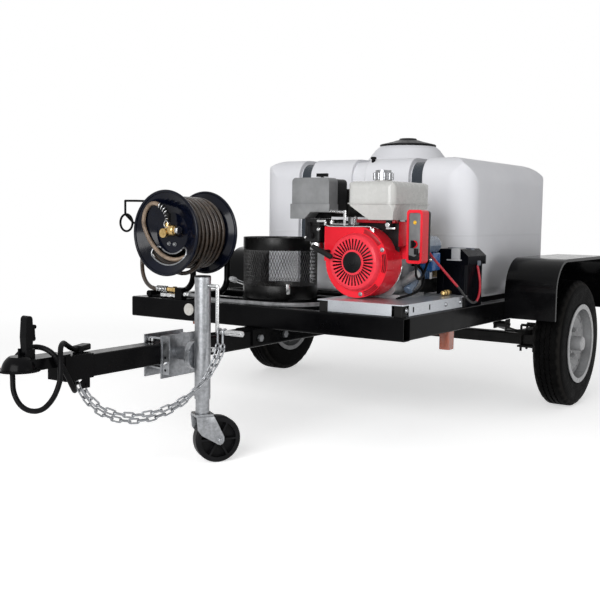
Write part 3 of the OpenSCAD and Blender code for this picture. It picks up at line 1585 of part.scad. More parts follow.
side_rails();
cross_beams();
tongue_beam();
frame_bolts();
coupler_body();
coupler_latch();
safety_chains();
lead_loop();
lead_plug();
jack_bracket();
jack_tube();
jack_leg();
jack_crank();
jack_pin();
caster_fork();
caster_wheel();
axle_beam();
leaf_springs();
spring_hardware();
fenders();
left_tyre();
left_rim();
right_tyre();
right_rim();
lamps();
water_tank();
tank_lid();
tank_straps();
engine_plate();
isolators();
crankcase();
flywheel();
fan_shroud();
recoil_cover();
recoil_handle();
fuel_tank();
fuel_cap();
air_cleaner();
air_cover();
carburettor();
throttle_lever();
choke_lever();
muffler();
control_box();
key_switch();
starter_motor();
pump_body();
pump_head();
battery_box();
battery_cable();
basket();
reel_stand();
reel_drum();
reel_hose();
reel_jumper();
reel_swivel();
supply_hose();
hose_tail();
hose_coupler();
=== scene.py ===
"""Looks of a trailer-mounted pressure washer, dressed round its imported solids."""

import math

import bpy
from mathutils import Matrix, Vector


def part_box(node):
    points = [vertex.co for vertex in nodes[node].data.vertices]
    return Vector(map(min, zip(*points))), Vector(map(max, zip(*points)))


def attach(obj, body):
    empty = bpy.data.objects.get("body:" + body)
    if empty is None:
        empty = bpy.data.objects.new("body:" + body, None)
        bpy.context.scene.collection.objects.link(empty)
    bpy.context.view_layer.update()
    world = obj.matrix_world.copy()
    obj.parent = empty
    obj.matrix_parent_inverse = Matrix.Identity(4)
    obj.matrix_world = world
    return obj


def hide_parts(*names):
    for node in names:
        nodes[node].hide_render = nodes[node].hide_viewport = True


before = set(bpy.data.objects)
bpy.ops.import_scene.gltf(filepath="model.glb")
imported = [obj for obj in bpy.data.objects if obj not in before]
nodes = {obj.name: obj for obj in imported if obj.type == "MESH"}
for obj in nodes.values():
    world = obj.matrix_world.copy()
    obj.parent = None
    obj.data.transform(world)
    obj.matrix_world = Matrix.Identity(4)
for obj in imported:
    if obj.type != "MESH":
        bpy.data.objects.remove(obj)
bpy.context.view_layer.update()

AXLE_X = 0.849  # the axle's x in the shared frame, in metres
MIDDLE_X = -AXLE_X * 1000  # the shared frame's middle, in millimetres from the axle
FORWARD, NEAR, FAR, UP = (-1, 0, 0), (0, -1, 0), (0, 1, 0), (0, 0, 1)


def at(x, y, z):
    """A place measured in millimetres from the axle, the middle and the ground."""
    return Vector((x / 1000 + AXLE_X, y / 1000, z / 1000))


def from_axle(x):
    """An x of the shared frame, in millimetres from the axle."""
    return (x - AXLE_X) * 1000


# Camera, light and floor

CAMERA_ANGLES = (-55.46, 5.28, 0.78)  # turn, dip and roll, in degrees
CAMERA_PLACE = (-3855, -2016, 792)
FOCAL_PIXELS, PHOTO_PIXELS, SENSOR = 918.7, 600, 36
WHITE = (1, 1, 1, 1)
WORLD_FILL = 0.30  # the backdrop's strength where it isn't seen but only gives light
FLOOR_LIFT = 0.52  # glow that brings the seen floor near the backdrop's white
FLOOR_MIDDLE, FLOOR_FADE = (0.4, 0, 0), (1.8, 4.0)  # from where, and how far off, the floor turns plain white
LAMP_TARGET = (0.2, 0.0, 0.6)
LAMPS = [  # name, place, target, width and height, watts
    ("front_box", (-4.0, -0.9, 1.6), LAMP_TARGET, (2.6, 2.0), 150),
    ("overhead_box", (0.2, -0.3, 3.8), LAMP_TARGET, (4.5, 3.0), 12),
    ("side_box", (0.2, -4.0, 1.0), LAMP_TARGET, (3.0, 1.4), 5),
    ("rear_box", (3.2, 3.0, 2.6), LAMP_TARGET, (2.6, 2.0), 14),
    ("low_box", (-0.2, -2.8, 0.45), (0.4, -0.5, 0.5), (2.0, 0.5), 8),
]


def set_camera():
    turn, dip, roll = (math.radians(a) for a in CAMERA_ANGLES)
    ahead = Vector((-math.sin(turn) * math.cos(dip), math.cos(turn) * math.cos(dip), -math.sin(dip)))
    right = Vector((math.cos(turn), math.sin(turn), 0))
    up = right.cross(ahead)
    right_rolled = math.cos(roll) * right + math.sin(roll) * up
    up_rolled = math.cos(roll) * up - math.sin(roll) * right
    place = Matrix((right_rolled, up_rolled, -ahead)).transposed().to_4x4()
    place.translation = at(*CAMERA_PLACE)
    data = bpy.data.cameras.new("photo_camera")
    data.sensor_width = SENSOR
    data.lens = FOCAL_PIXELS / PHOTO_PIXELS * SENSOR
    camera = bpy.data.objects.new("photo_camera", data)
    camera.matrix_world = place
    bpy.context.scene.collection.objects.link(camera)
    bpy.context.scene.camera = camera


def softbox(name, place, target, size, watts):
    data = bpy.data.lights.new(name, "AREA")
    data.shape = "RECTANGLE"
    data.size, data.size_y = size
    data.energy = watts
    lamp = bpy.data.objects.new(name, data)
    lamp.location = place
    lamp.visible_camera = False
    lamp.rotation_euler = (Vector(target) - Vector(place)).to_track_quat("-Z", "Y").to_euler()
    bpy.context.scene.collection.objects.link(lamp)


def seen_white(tree):
    """1 for a ray that shows the backdrop itself, straight, mirrored or through glass."""
    path = node(tree, "LightPath").outputs
    seen = reckon("MAXIMUM", path["Is Camera Ray"], path["Is Glossy Ray"])
    return reckon("MAXIMUM", seen, path["Is Transmission Ray"])


def set_stage():
    """A white world and five soft lamps over a pale floor."""
    scene = bpy.context.scene
    scene.view_settings.view_transform = "Standard"
    world = bpy.data.worlds.new("studio")
    scene.world = world
    world.use_nodes = True
    back = world.node_tree.nodes["Background"]
    back.inputs["Color"].default_value = WHITE
    strength = graded(seen_white(world.node_tree), 0.0, 1.0, WORLD_FILL, 1.0)
    world.node_tree.links.new(strength, back.inputs["Strength"])
    set_floor()
    for lamp in LAMPS:
        softbox(*lamp)


def set_floor():
    """A floor that takes the part's shadow near it and turns into the backdrop further off."""
    bpy.ops.object.select_all(action="DESELECT")
    bpy.ops.mesh.primitive_grid_add(x_subdivisions=4, y_subdivisions=4, size=60, location=(0, 0, -0.0005))
    floor = bpy.context.object
    floor.name = "studio_floor"
    pale, tree, shader = finish("studio_floor")
    tone = ramp(cloud(tree, 1.5, 3), [(0.3, (0.80, 0.80, 0.80)), (0.7, (0.83, 0.83, 0.83))])
    tree.links.new(tone, shader.inputs["Base Color"])
    shader.inputs["Roughness"].default_value = 0.9
    shader.inputs["Specular IOR Level"].default_value = 0.1
    glow = node(tree, "Emission", {"Color": WHITE, "Strength": times(seen_white(tree), FLOOR_LIFT)})
    lit = node(tree, "AddShader", {0: shader.outputs[0], 1: glow.outputs[0]})
    plain = node(tree, "Emission", {"Color": WHITE, "Strength": 1.0})
    spot = node(tree, "TexCoord").outputs["Object"]
    far_off = node(tree, "VectorMath", {0: spot, 1: FLOOR_MIDDLE}, operation="DISTANCE").outputs["Value"]
    fade = node(tree, "MapRange", {"Value": far_off, "From Min": FLOOR_FADE[0], "From Max": FLOOR_FADE[1]},
                interpolation_type="SMOOTHSTEP")
    share = times(fade.outputs[0], seen_white(tree))
    ground = node(tree, "MixShader", {0: share, 1: lit.outputs[0], 2: plain.outputs[0]})
    tree.links.new(ground.outputs[0], tree.nodes["Material Output"].inputs["Surface"])
    floor.data.materials.append(pale)


# Steps that the finishes are built from


def finish(name):
    material = bpy.data.materials.new(name)
    material.use_nodes = True
    return material, material.node_tree, material.node_tree.nodes["Principled BSDF"]


def node(tree, kind, inputs=None, **settings):
    made = tree.nodes.new("ShaderNode" + kind)
    for key, value in settings.items():
        setattr(made, key, value)
    for key, value in (inputs or {}).items():
        if isinstance(value, bpy.types.NodeSocket):
            tree.links.new(value, made.inputs[key])
        else:
            made.inputs[key].default_value = value
    return made


def place_of(tree, stretch=None):
    spot = node(tree, "TexCoord").outputs["Object"]
    if stretch is None:
        return spot
    return node(tree, "Mapping", {"Vector": spot, "Scale": stretch}).outputs[0]


def axes(tree):
    return node(tree, "SeparateXYZ", {0: place_of(tree)}).outputs


def cloud(tree, scale, detail=3.0, rough=0.5, stretch=None):
    return node(tree, "TexNoise", {"Vector": place_of(tree, stretch), "Scale": scale, "Detail": detail,
                                   "Roughness": rough}).outputs["Fac"]


def cells(tree, scale, feature="F1"):
    return node(tree, "TexVoronoi", {"Vector": place_of(tree), "Scale": scale}, feature=feature).outputs["Distance"]


def ramp(value, stops):
    made = node(value.id_data, "ValToRGB", {"Fac": value})
    while len(made.color_ramp.elements) < len(stops):
        made.color_ramp.elements.new(0.5)
    for element, (spot, colour) in zip(made.color_ramp.elements, stops):
        element.position = spot
        element.color = (*colour, 1)
    return made.outputs["Color"]


def graded(value, low, high, to_low, to_high):
    return node(value.id_data, "MapRange", {"Value": value, "From Min": low, "From Max": high, "To Min": to_low,
                                            "To Max": to_high}).outputs[0]


def reckon(operation, a, b=0.5):
    return node(a.id_data, "Math", {0: a, 1: b}, operation=operation).outputs[0]


def times(a, b):
    return reckon("MULTIPLY", a, b)


def plus(a, b):
    return reckon("ADD", a, b)


def wave(value, pitch):
    return reckon("SINE", times(value, 2 * math.pi / pitch))


def blended(share, a, b):
    made = node(share.id_data, "Mix", {"Factor": share}, data_type="RGBA")
    for key, value in (("A", a), ("B", b)):
        socket = [s for s in made.inputs if s.name == key and s.type == "RGBA"][0]
        if isinstance(value, bpy.types.NodeSocket):
            share.id_data.links.new(value, socket)
        else:
            socket.default_value = (*value, 1)
    return [s for s in made.outputs if s.type == "RGBA"][0]


def facing_up(tree, low=0.6):
    up = node(tree, "SeparateXYZ", {0: node(tree, "NewGeometry").outputs["Normal"]}).outputs["Z"]
    return graded(up, low, 1.0, 0.0, 1.0)


def lay_on(shader, tone, mottle, rough, low, high, gloss=None, start=0.3):
    """Give the surface its tone, its gloss, and a roughness that a mottle moves between two shares of rough."""
    links = shader.id_data.links
    links.new(tone, shader.inputs["Base Color"])
    links.new(graded(mottle, start, 0.7, rough * low, rough * high), shader.inputs["Roughness"])
    if gloss is not None:
        shader.inputs["Specular IOR Level"].default_value = gloss


def relief(shader, height, depth, strength, rounding=0.0012):
    """Give the surface a fine height, on edges softened by a small radius."""
    tree = shader.id_data
    bump = node(tree, "Bump", {"Height": height, "Distance": depth, "Strength": strength})
    if rounding:
        soft = node(tree, "Bevel", {"Radius": rounding}, samples=4)
        tree.links.new(soft.outputs["Normal"], bump.inputs["Normal"])
    tree.links.new(bump.outputs["Normal"], shader.inputs["Normal"])


DUST = (0.24, 0.23, 0.22)
SEAM_Z = 0.721  # height of the tank's mould seam, in metres
WHEEL_Y, WHEEL_Z = 747.5, 266.5
PRISM_PITCH = 2 * math.pi / 1500


def painted(name, dark, light, rough, coat, peel, dust, gloss, rounding=0.0012):
    """Sprayed paint: a slow change of tone, orange peel, and a little dust on what faces up."""
    material, tree, shader = finish(name)
    tone = ramp(cloud(tree, 6, 4), [(0.35, dark), (0.65, light)])
    lying = times(facing_up(tree), graded(cloud(tree, 24, 6, 0.6), 0.4, 0.75, 0.0, dust))
    lay_on(shader, blended(lying, tone, DUST), cloud(tree, 45, 4), rough, 0.75, 1.3, gloss)
    relief(shader, cloud(tree, 330, 2), 0.0006, peel, rounding)
    shader.inputs["Coat Weight"].default_value = coat
    shader.inputs["Coat Roughness"].default_value = 0.06
    return material


def moulded(name, dark, light, rough, grain, gloss=0.2):
    """Moulded plastic: fine leathery grain, faint scuffs."""
    material, tree, shader = finish(name)
    tone = ramp(cloud(tree, 14, 5, 0.6), [(0.35, dark), (0.7, light)])
    lay_on(shader, tone, cloud(tree, 60, 5, 0.65, (1, 1, 0.35)), rough, 0.85, 1.25, gloss, 0.35)
    relief(shader, cells(tree, 900), 0.0003, grain)
    return material


def bare_metal(name, dark, light, rough, stretch=None, grain=0.2, spangle=0.0):
    """Bare or plated metal: brushed along one way, or with a plated spangle."""
    material, tree, shader = finish(name)
    shader.inputs["Metallic"].default_value = 1.0
    tone = ramp(cloud(tree, 90, 5, 0.6, stretch), [(0.3, dark), (0.7, light)])
    if spangle:
        flake = node(tree, "TexVoronoi", {"Vector": place_of(tree), "Scale": 150.0}).outputs["Color"]
        grey = node(tree, "RGBToBW", {0: flake}).outputs[0]
        tone = blended(graded(grey, 0.2, 0.8, 0.0, spangle), tone, dark)
    lay_on(shader, tone, cloud(tree, 40, 5, 0.6, stretch), rough, 0.75, 1.3)
    relief(shader, cloud(tree, 500, 3, 0.6, stretch), 0.0003, grain, 0.0010)
    return material


def cast_metal(name, dark, light, rough):
    """Sand-cast metal with a pebbled skin and a patchy tone."""
    material, tree, shader = finish(name)
    shader.inputs["Metallic"].default_value = 0.75
    tone = ramp(cloud(tree, 30, 6, 0.65), [(0.3, dark), (0.68, light)])
    lay_on(shader, tone, cloud(tree, 120, 3), rough, 0.8, 1.2)
    relief(shader, cells(tree, 420, "SMOOTH_F1"), 0.0006, 0.35)
    return material


def rubbery(name, dark, light, rough):
    """Soft black rubber with a fine grain."""
    material, tree, shader = finish(name)
    tone = ramp(cloud(tree, 20, 6, 0.65), [(0.35, dark), (0.72, light)])
    lay_on(shader, tone, cloud(tree, 80, 4), rough, 0.85, 1.15, 0.12)
    relief(shader, cloud(tree, 700, 3), 0.0003, 0.3)
    return material


def hose_cover(name, dark, light, rough, turns=160.0, ribs=0.35, sleeve=None, gloss=0.42):
    """Hose skin on the piece's own run map: a faint wrap of cloth under the rubber, rubbed patches, a black sleeve."""
    material, tree, shader = finish(name)
    run = node(tree, "SeparateXYZ", {0: node(tree, "UVMap", uv_map="run").outputs["UV"]})
    along, round_it = run.outputs["X"], run.outputs["Y"]
    slant = plus(times(along, turns * 2 * math.pi), times(round_it, 4 * math.pi))
    rubbed = cloud(tree, 34, 6, 0.65)
    tone = ramp(rubbed, [(0.35, dark), (0.68, light)])
    if sleeve:
        first, last = sleeve
        on = times(graded(along, first, first + 0.004, 0.0, 1.0),
                   graded(along, last, last + 0.004, 1.0, 0.0))
        tone = blended(on, tone, (0.004, 0.004, 0.0045))
    lay_on(shader, tone, rubbed, rough, 0.8, 1.3, gloss)
    relief(shader, reckon("SINE", slant), 0.0003, ribs, 0)
    return material


def tank_skin():
    """Rotomoulded white plastic: slight waves, a mould seam round the middle, a little dust on top."""
    material, tree, shader = finish("tank_skin")
    tone = ramp(cloud(tree, 3.5, 5, 0.55), [(0.3, (0.73, 0.735, 0.77)), (0.7, (0.785, 0.79, 0.82))])
    height = axes(tree)["Z"]
    off = reckon("ABSOLUTE", reckon("SUBTRACT", height, SEAM_Z))
    seam = graded(off, 0.002, 0.006, 1.0, 0.0)
    low = graded(height, 0.46, 0.62, 0.16, 0.0)
    patches = graded(cloud(tree, 18, 6, 0.65), 0.42, 0.72, 0.0, 1.0)
    grime = times(patches, plus(low, times(facing_up(tree, 0.7), 0.06)))
    tone = blended(times(seam, 0.10), tone, (0.55, 0.56, 0.58))
    tone = blended(grime, tone, (0.42, 0.40, 0.37))
    lay_on(shader, tone, cloud(tree, 26, 4), 1.0, 0.42, 0.56, 0.10)
    waves = plus(cloud(tree, 9, 2), times(cloud(tree, 220, 2), 0.06))
    relief(shader, plus(waves, times(seam, 0.5)), 0.003, 0.35, 0.006)
    return material


def tyre_skin():
    """Tyre rubber: moulded rings on the wall, dust in the grooves."""
    material, tree, shader = finish("tyre_skin")
    spot = axes(tree)
    across = reckon("SUBTRACT", spot["X"], AXLE_X)
    rise = reckon("SUBTRACT", spot["Z"], WHEEL_Z / 1000)
    out = reckon("SQRT", plus(reckon("POWER", across, 2.0), reckon("POWER", rise, 2.0)))
    on_wall = times(graded(out, 0.168, 0.176, 0.0, 1.0), graded(out, 0.236, 0.246, 1.0, 0.0))
    in_groove = times(graded(out, 0.255, 0.262, 1.0, 0.0), graded(out, 0.246, 0.25, 0.0, 1.0))
    worn = cloud(tree, 30, 6, 0.65)
    tone = ramp(worn, [(0.32, (0.001, 0.001, 0.0011)), (0.7, (0.005, 0.005, 0.005))])
    tone = blended(times(in_groove, 0.35), tone, (0.03, 0.028, 0.026))
    lay_on(shader, tone, worn, 1.0, 0.42, 0.66, 0.015)
    rings = times(times(wave(out, 0.011), on_wall), 0.5)
    relief(shader, plus(rings, cloud(tree, 600, 3)), 0.0008, 0.5, 0.0015)
    return material


def strap_weave():
    """Webbing: ribs across the strap and a twill between them."""
    material, tree, shader = finish("strap_weave")
    spot = axes(tree)
    rows = wave(spot["Y"], 0.0032)
    picks = wave(plus(spot["X"], spot["Z"]), 0.0045)
    weave = times(rows, picks)
    tone = ramp(graded(weave, -1, 1, 0, 1), [(0.2, (0.004, 0.008, 0.014)), (0.9, (0.014, 0.026, 0.042))])
    worn = graded(cloud(tree, 40, 5), 0.4, 0.75, 0.0, 0.25)
    tree.links.new(blended(worn, tone, (0.035, 0.045, 0.055)), shader.inputs["Base Color"])
    shader.inputs["Roughness"].default_value = 0.62
    shader.inputs["Sheen Weight"].default_value = 0.2
    relief(shader, weave, 0.0006, 0.6, 0)
    return material


def lamp_lens():
    """Lenses: clear at the front of the frame, amber on the sides, red behind, with a moulded prism grid."""
    material, tree, shader = finish("lamp_lens")
    spot = axes(tree)
    front = graded(spot["X"], AXLE_X - 1.15, AXLE_X - 1.10, 1.0, 0.0)
    rear = graded(spot["X"], AXLE_X + 0.30, AXLE_X + 0.35, 0.0, 1.0)
    tone = blended(front, (0.33, 0.075, 0.035), (0.50, 0.49, 0.46))
    tone = blended(rear, tone, (0.42, 0.012, 0.012))
    shade = graded(cloud(tree, 60, 5, 0.6), 0.4, 0.7, 0.0, 0.25)
    tree.links.new(blended(shade, tone, (0.08, 0.03, 0.02)), shader.inputs["Base Color"])
    shader.inputs["Roughness"].default_value = 0.18
    shader.inputs["Coat Weight"].default_value = 0.6
    prisms = times(wave(spot["Y"], PRISM_PITCH), wave(spot["Z"], PRISM_PITCH))
    relief(shader, prisms, 0.0006, 0.35)
    return material


PAINTS = {  # dark and light tone, roughness, coat, orange peel, dust, gloss, rounding of edges
    "frame_black": ((0.0012, 0.0012, 0.0015), (0.0034, 0.0034, 0.0038), 0.20, 0.0, 0.05, 0.015, 0.045),
    "mesh_black": ((0.02, 0.02, 0.022), (0.045, 0.044, 0.043), 0.25, 0.0, 0.05, 0.03, 0.3, 0),
    "band_black": ((0.0015, 0.0015, 0.0016), (0.004, 0.004, 0.004), 0.32, 0.0, 0.1, 0.02, 0.16),
    "fender_black": ((0.001, 0.001, 0.0012), (0.003, 0.003, 0.0035), 0.17, 0.02, 0.04, 0.012, 0.08),
    # The reel's black is its paint; the blue in it is a painted reflection of sky in the flange.
    "reel_black_painted_reflection": ((0.0012, 0.0018, 0.005), (0.003, 0.0045, 0.012), 0.14, 0.05, 0.05, 0.02, 0.13),
    "running_gear_black": ((0.003, 0.003, 0.003), (0.010, 0.009, 0.009), 0.42, 0.0, 0.25, 0.2, 0.15),
    # The recoil cover and the shroud share one red paint: the cover's lighter red is painted light, the shroud's deeper
    # red painted shade.
    "cover_red_painted_light": ((0.64, 0.026, 0.044), (0.76, 0.046, 0.068), 0.26, 0.06, 0.05, 0.0, 0.12),
    "shroud_red_painted_shade": ((0.58, 0.009, 0.020), (0.72, 0.020, 0.036), 0.22, 0.08, 0.05, 0.0, 0.14),
    # The darkest red is painted shade, for the shroud's recessed plate and for the brace and ear under the tank.
    "shroud_red_deep_painted_shade": ((0.22, 0.003, 0.008), (0.32, 0.006, 0.013), 0.34, 0.1, 0.05, 0.05, 0.25),
    "tank_cream": ((0.455, 0.455, 0.442), (0.49, 0.49, 0.476), 0.26, 0.15, 0.05, 0.0, 0.25),
    "motor_blue": ((0.055, 0.115, 0.24), (0.11, 0.20, 0.36), 0.30, 0.2, 0.15, 0.10, 0.3),
    "starter_blue": ((0.09, 0.125, 0.18), (0.17, 0.215, 0.285), 0.24, 0.4, 0.08, 0.05, 0.4),
    "cap_blue": ((0.012, 0.085, 0.27), (0.035, 0.15, 0.40), 0.28, 0.3, 0.08, 0.05, 0.4),
    "rim_silver": ((0.25, 0.252, 0.257), (0.34, 0.343, 0.35), 0.28, 0.2, 0.08, 0.08, 0.35),
    "muffler_black": ((0.006, 0.006, 0.006), (0.018, 0.017, 0.016), 0.6, 0.0, 0.3, 0.2, 0.15),
}
METALS = {  # dark and light tone, roughness, stretch of the brushing, grain, spangle
    "zinc_plate": ((0.20, 0.205, 0.215), (0.33, 0.34, 0.355), 0.34, None, 0.25, 0.12),
    "bright_steel": ((0.40, 0.405, 0.41), (0.64, 0.645, 0.65), 0.20, (1, 1, 6), 0.15),
    "cap_chrome": ((0.16, 0.163, 0.17), (0.34, 0.345, 0.355), 0.22, (1, 1, 6), 0.2),
    "tray_aluminium": ((0.42, 0.44, 0.47), (0.58, 0.60, 0.63), 0.36, (0.6, 6, 6), 0.3),
    "brass": ((0.34, 0.22, 0.075), (0.60, 0.43, 0.19), 0.28, None, 0.25),
}
CASTINGS = {  # dark and light tone, roughness
    "crankcase_cast": ((0.16, 0.16, 0.165), (0.36, 0.365, 0.37), 0.5),
    "flywheel_cast": ((0.015, 0.015, 0.016), (0.05, 0.05, 0.053), 0.55),
    "carb_black": ((0.004, 0.004, 0.0042), (0.016, 0.016, 0.017), 0.5),
}
MOULDINGS = {  # dark and light tone, roughness, grain, gloss
    "black_moulding": ((0.002, 0.002, 0.0024), (0.007, 0.007, 0.008), 0.40, 0.25, 0.10),
    "battery_black": ((0.0012, 0.0014, 0.0022), (0.003, 0.0034, 0.006), 0.30, 0.12, 0.05),
    "panel_grey": ((0.10, 0.102, 0.105), (0.16, 0.162, 0.166), 0.36, 0.2, 0.2),
    "strap_grey": ((0.38, 0.385, 0.395), (0.50, 0.505, 0.515), 0.42, 0.3, 0.2),
    "strap_slate": ((0.085, 0.098, 0.125), (0.14, 0.156, 0.19), 0.42, 0.3, 0.2),
    "grey_moulding": ((0.15, 0.153, 0.157), (0.215, 0.219, 0.223), 0.40, 0.25, 0.3),
    "amber_lens": ((0.62, 0.34, 0.02), (0.80, 0.48, 0.05), 0.2, 0.05),
}
RUBBERS = {"soft_black": ((0.004, 0.004, 0.004), (0.011, 0.011, 0.011), 0.55)}
HOSES = {  # dark and light tone, roughness, turns of the wrap to a metre, its depth, a sleeve's ends, gloss
    "hose_brown": ((0.014, 0.009, 0.006), (0.066, 0.044, 0.030), 0.20),
    # hose_shaded is the brown hose darkened as painted shade, for the close layer under the loose turns.
    "hose_shaded": ((0.006, 0.004, 0.003), (0.022, 0.015, 0.011), 0.40),
    "hose_tan": ((0.115, 0.080, 0.055), (0.30, 0.225, 0.165), 0.42),
    "hose_grey": ((0.10, 0.10, 0.105), (0.24, 0.245, 0.25), 0.40),
    "lead_black": ((0.0015, 0.0015, 0.0018), (0.005, 0.005, 0.0055), 0.40, 160.0, 0.35, None, 0.06),
    "cable_red": ((0.30, 0.006, 0.016), (0.50, 0.020, 0.035), 0.36, 260.0, 0.2, (0.165, 0.315)),
}
FINISHES = {
    name: make(name, *look)
    for make, looks in ((painted, PAINTS), (bare_metal, METALS), (cast_metal, CASTINGS), (moulded, MOULDINGS),
                        (rubbery, RUBBERS), (hose_cover, HOSES))
    for name, look in looks.items()
}
FINISHES.update({make.__name__: make() for make in (tank_skin, tyre_skin, strap_weave, lamp_lens)})

DRESSED = {
    "frame_black": ["side_rails", "cross_beams", "tongue_beam", "coupler_body", "coupler_latch", "reel_stand"],
    "fender_black": ["fenders"],
    "reel_black_painted_reflection": ["reel_drum"],
    "mesh_black": ["basket"],
    "running_gear_black": ["axle_beam", "leaf_springs", "spring_hardware"],
    "zinc_plate": ["frame_bolts", "safety_chains", "jack_bracket", "jack_tube", "jack_leg", "caster_fork"],
    "bright_steel": ["jack_crank", "jack_pin", "throttle_lever"],
    "cap_chrome": ["fuel_cap"],
    "soft_black": ["isolators", "recoil_handle"],
    "battery_black": ["battery_box"],
    "black_moulding": ["lead_plug", "tank_lid", "air_cleaner", "choke_lever", "key_switch", "caster_wheel"],
    "tyre_skin": ["left_tyre", "right_tyre"],
    "rim_silver": ["left_rim", "right_rim"],
    "lamp_lens": ["lamps"],
    "tank_skin": ["water_tank"],
    "strap_weave": ["tank_straps"],
    "tray_aluminium": ["engine_plate"],
    "crankcase_cast": ["crankcase"],
    "flywheel_cast": ["flywheel"],
    "carb_black": ["carburettor"],
    "shroud_red_painted_shade": ["fan_shroud", "control_box"],
    "cover_red_painted_light": ["recoil_cover"],
    "tank_cream": ["fuel_tank"],
    "grey_moulding": ["air_cover"],
    "muffler_black": ["muffler"],
    "motor_blue": ["pump_body"],
    "starter_blue": ["starter_motor"],
    "brass": ["pump_head", "reel_swivel", "hose_coupler"],
}


def dress_solids():
    for name, members in DRESSED.items():
        for member in members:
            solid = nodes[member]
            if not solid.material_slots:
                solid.data.materials.append(FINISHES[name])
            for slot in solid.material_slots:
                slot.material = FINISHES[name]


def put_on(piece, body, solids):
    """Let a piece ride on a body, and hide the solids it stands for."""
    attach(piece, body)
    if solids:
        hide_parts(*solids)
    return piece


# Hoses, cables and rods

ROUTE_STEPS = 6  # points laid from one point of a route to the next
HOSE_D, LEAD_D, WIRE_D = 0.0165, 0.015, 0.009
HUB_X, HUB_Y, HUB_Z = HUB = (-1155, 458, 715)
LEAD_ROUTE = [
    (-2086, -12, 315.5), (-2086.8, -14.5, 304.5), (-2092, -25.5, 292.5), (-2103, -40.5, 289), (-2117, -51, 299),
    (-2131, -54.5, 319.5), (-2144, -54.5, 342), (-2158, -53, 366), (-2171.5, -48, 390), (-2184, -26.5, 412),
    (-2193, 9, 419), (-2205, 43, 411), (-2216, 68, 388), (-2222, 78, 358), (-2222, 78, 330),
    (-2227, 67.5, 290), (-2228, 39, 258), (-2222, 2, 245), (-2213, -37, 254), (-2202, -66, 286),
    (-2191, -79, 328), (-2185, -77, 361), (-2176, -67, 393), (-2158, -48, 418.5), (-2132, -28, 426.5),
    (-2106, -12, 417), (-2080, -2, 404), (-2062, 4, 398.5), (-2048, 9.5, 397.2),
]
CABLE_ROUTE = [
    (-862, -518.1, 664.2), (-861, -525, 655), (-850, -541, 632), (-820, -571, 586), (-784, -598, 540),
    (-752, -612, 505), (-718, -618, 484), (-684, -618, 476), (-650, -617, 484), (-620, -613, 515),
    (-604, -605, 555), (-597, -595, 592), (-596, -591.2, 606), (-596, -591, 614.6),
]
SUPPLY_ROUTE = [
    (-1202, 323, 482), (-1203, 290, 480), (-1202, 240, 473), (-1200, 160, 470), (-1199, 60, 470),
    (-1196, -40, 470), (-1178, -110, 470), (-1130, -160, 470), (-1060, -186, 470), (-985, -196, 470),
    (-900, -192, 470), (-800, -184, 472), (-740, -180, 484), (-700, -184, 516), (-682, -204, 548),
    (-680, -240, 569),
]
TAIL_ROUTE = [
    (-1150, 612, 717), (-1150, 612.5, 690), (-1152, 616, 655), (-1156, 618, 620), (-1164, 612, 583),
    (-1177, 594, 548), (-1190, 566, 520), (-1199, 534, 503), (-1202, 507.3, 497), (-1202, 494.3, 497),
]
JUMPER_ROUTE = [  # measured from the reel's hub
    (-34, -8, 40), (-34, -8, 54), (-34, -3, 74), (-34, 22, 102), (-38, 66, 116), (-39, 102, 90), (-35, 120, 40),
    (-27, 106, -14), (-23, 76, -54), (-21, 42, -82), (-16, 10, -98), (-4, -22, -104), (12, -46, -96), (20, -56, -90),
]
PANEL_ROUTE = [
    (-1046, -562, 636), (-1045, -561, 618), (-1034, -556, 596), (-1008, -548, 580), (-968, -536, 574),
    (-926, -526, 580), (-890, -517, 600), (-866, -513, 622), (-851, -512, 634), (-842, -512, 638),
]
LOOM_ROUTE = [
    (-876, -455, 616), (-876, -474, 615), (-878, -496, 604), (-888, -512, 582), (-906, -520, 558),
    (-930, -520, 537), (-958, -512, 522), (-988, -498, 514), (-1016, -486, 508), (-1030, -480, 504),
]
SPOUT_ROUTE = [(-800, 288, 486), (-804, 306, 488), (-820, 324, 494), (-850, 330, 504), (-936, 330, 529)]
GOVERNOR_ROUTE = [
    (-1103, -232, 757.5), (-1104, -250, 754), (-1104, -330, 754.4), (-1104, -404, 755), (-1104, -414, 752),
    (-1103.5, -416.5, 744), (-1100, -417, 737),
]
WIND_STEPS, COIL_STEPS, GUARD_STEPS = 48, 10, 12  # points in one turn of the wound hose, a spring, a spring guard
LOOSE_STARTS = [-1160, -1140, -1112, -1092, -1062, -1045, -1016, -992]  # x where each loose turn starts and ends
LOOSE_R, SLACK_TURN, SLACK = 136, 2, 27
CLOSE_TURNS, CLOSE_START, CLOSE_PITCH, CLOSE_R = 10, -1162, 17.2, 120.5


def smoothed(route, steps=ROUTE_STEPS):
    """Points on one smooth curve through the route's own places."""
    route = [at(*place) for place in route]
    points = []
    for i in range(len(route) - 1):
        before, a, b = route[max(i - 1, 0)], route[i], route[i + 1]
        after = route[min(i + 2, len(route) - 1)]
        for k in range(steps):
            t = k / steps
            points.append(0.5 * (2 * a + (b - before) * t + (2 * before - 5 * a + 4 * b - after) * t * t
                                 + (3 * a - before - 3 * b + after) * t ** 3))
    return points + [route[-1]]


def lengths_along(points):
    """How far along the run each point lies."""
    gone = [0.0]
    for a, b in zip(points, points[1:]):
        gone.append(gone[-1] + (b - a).length)
    return gone


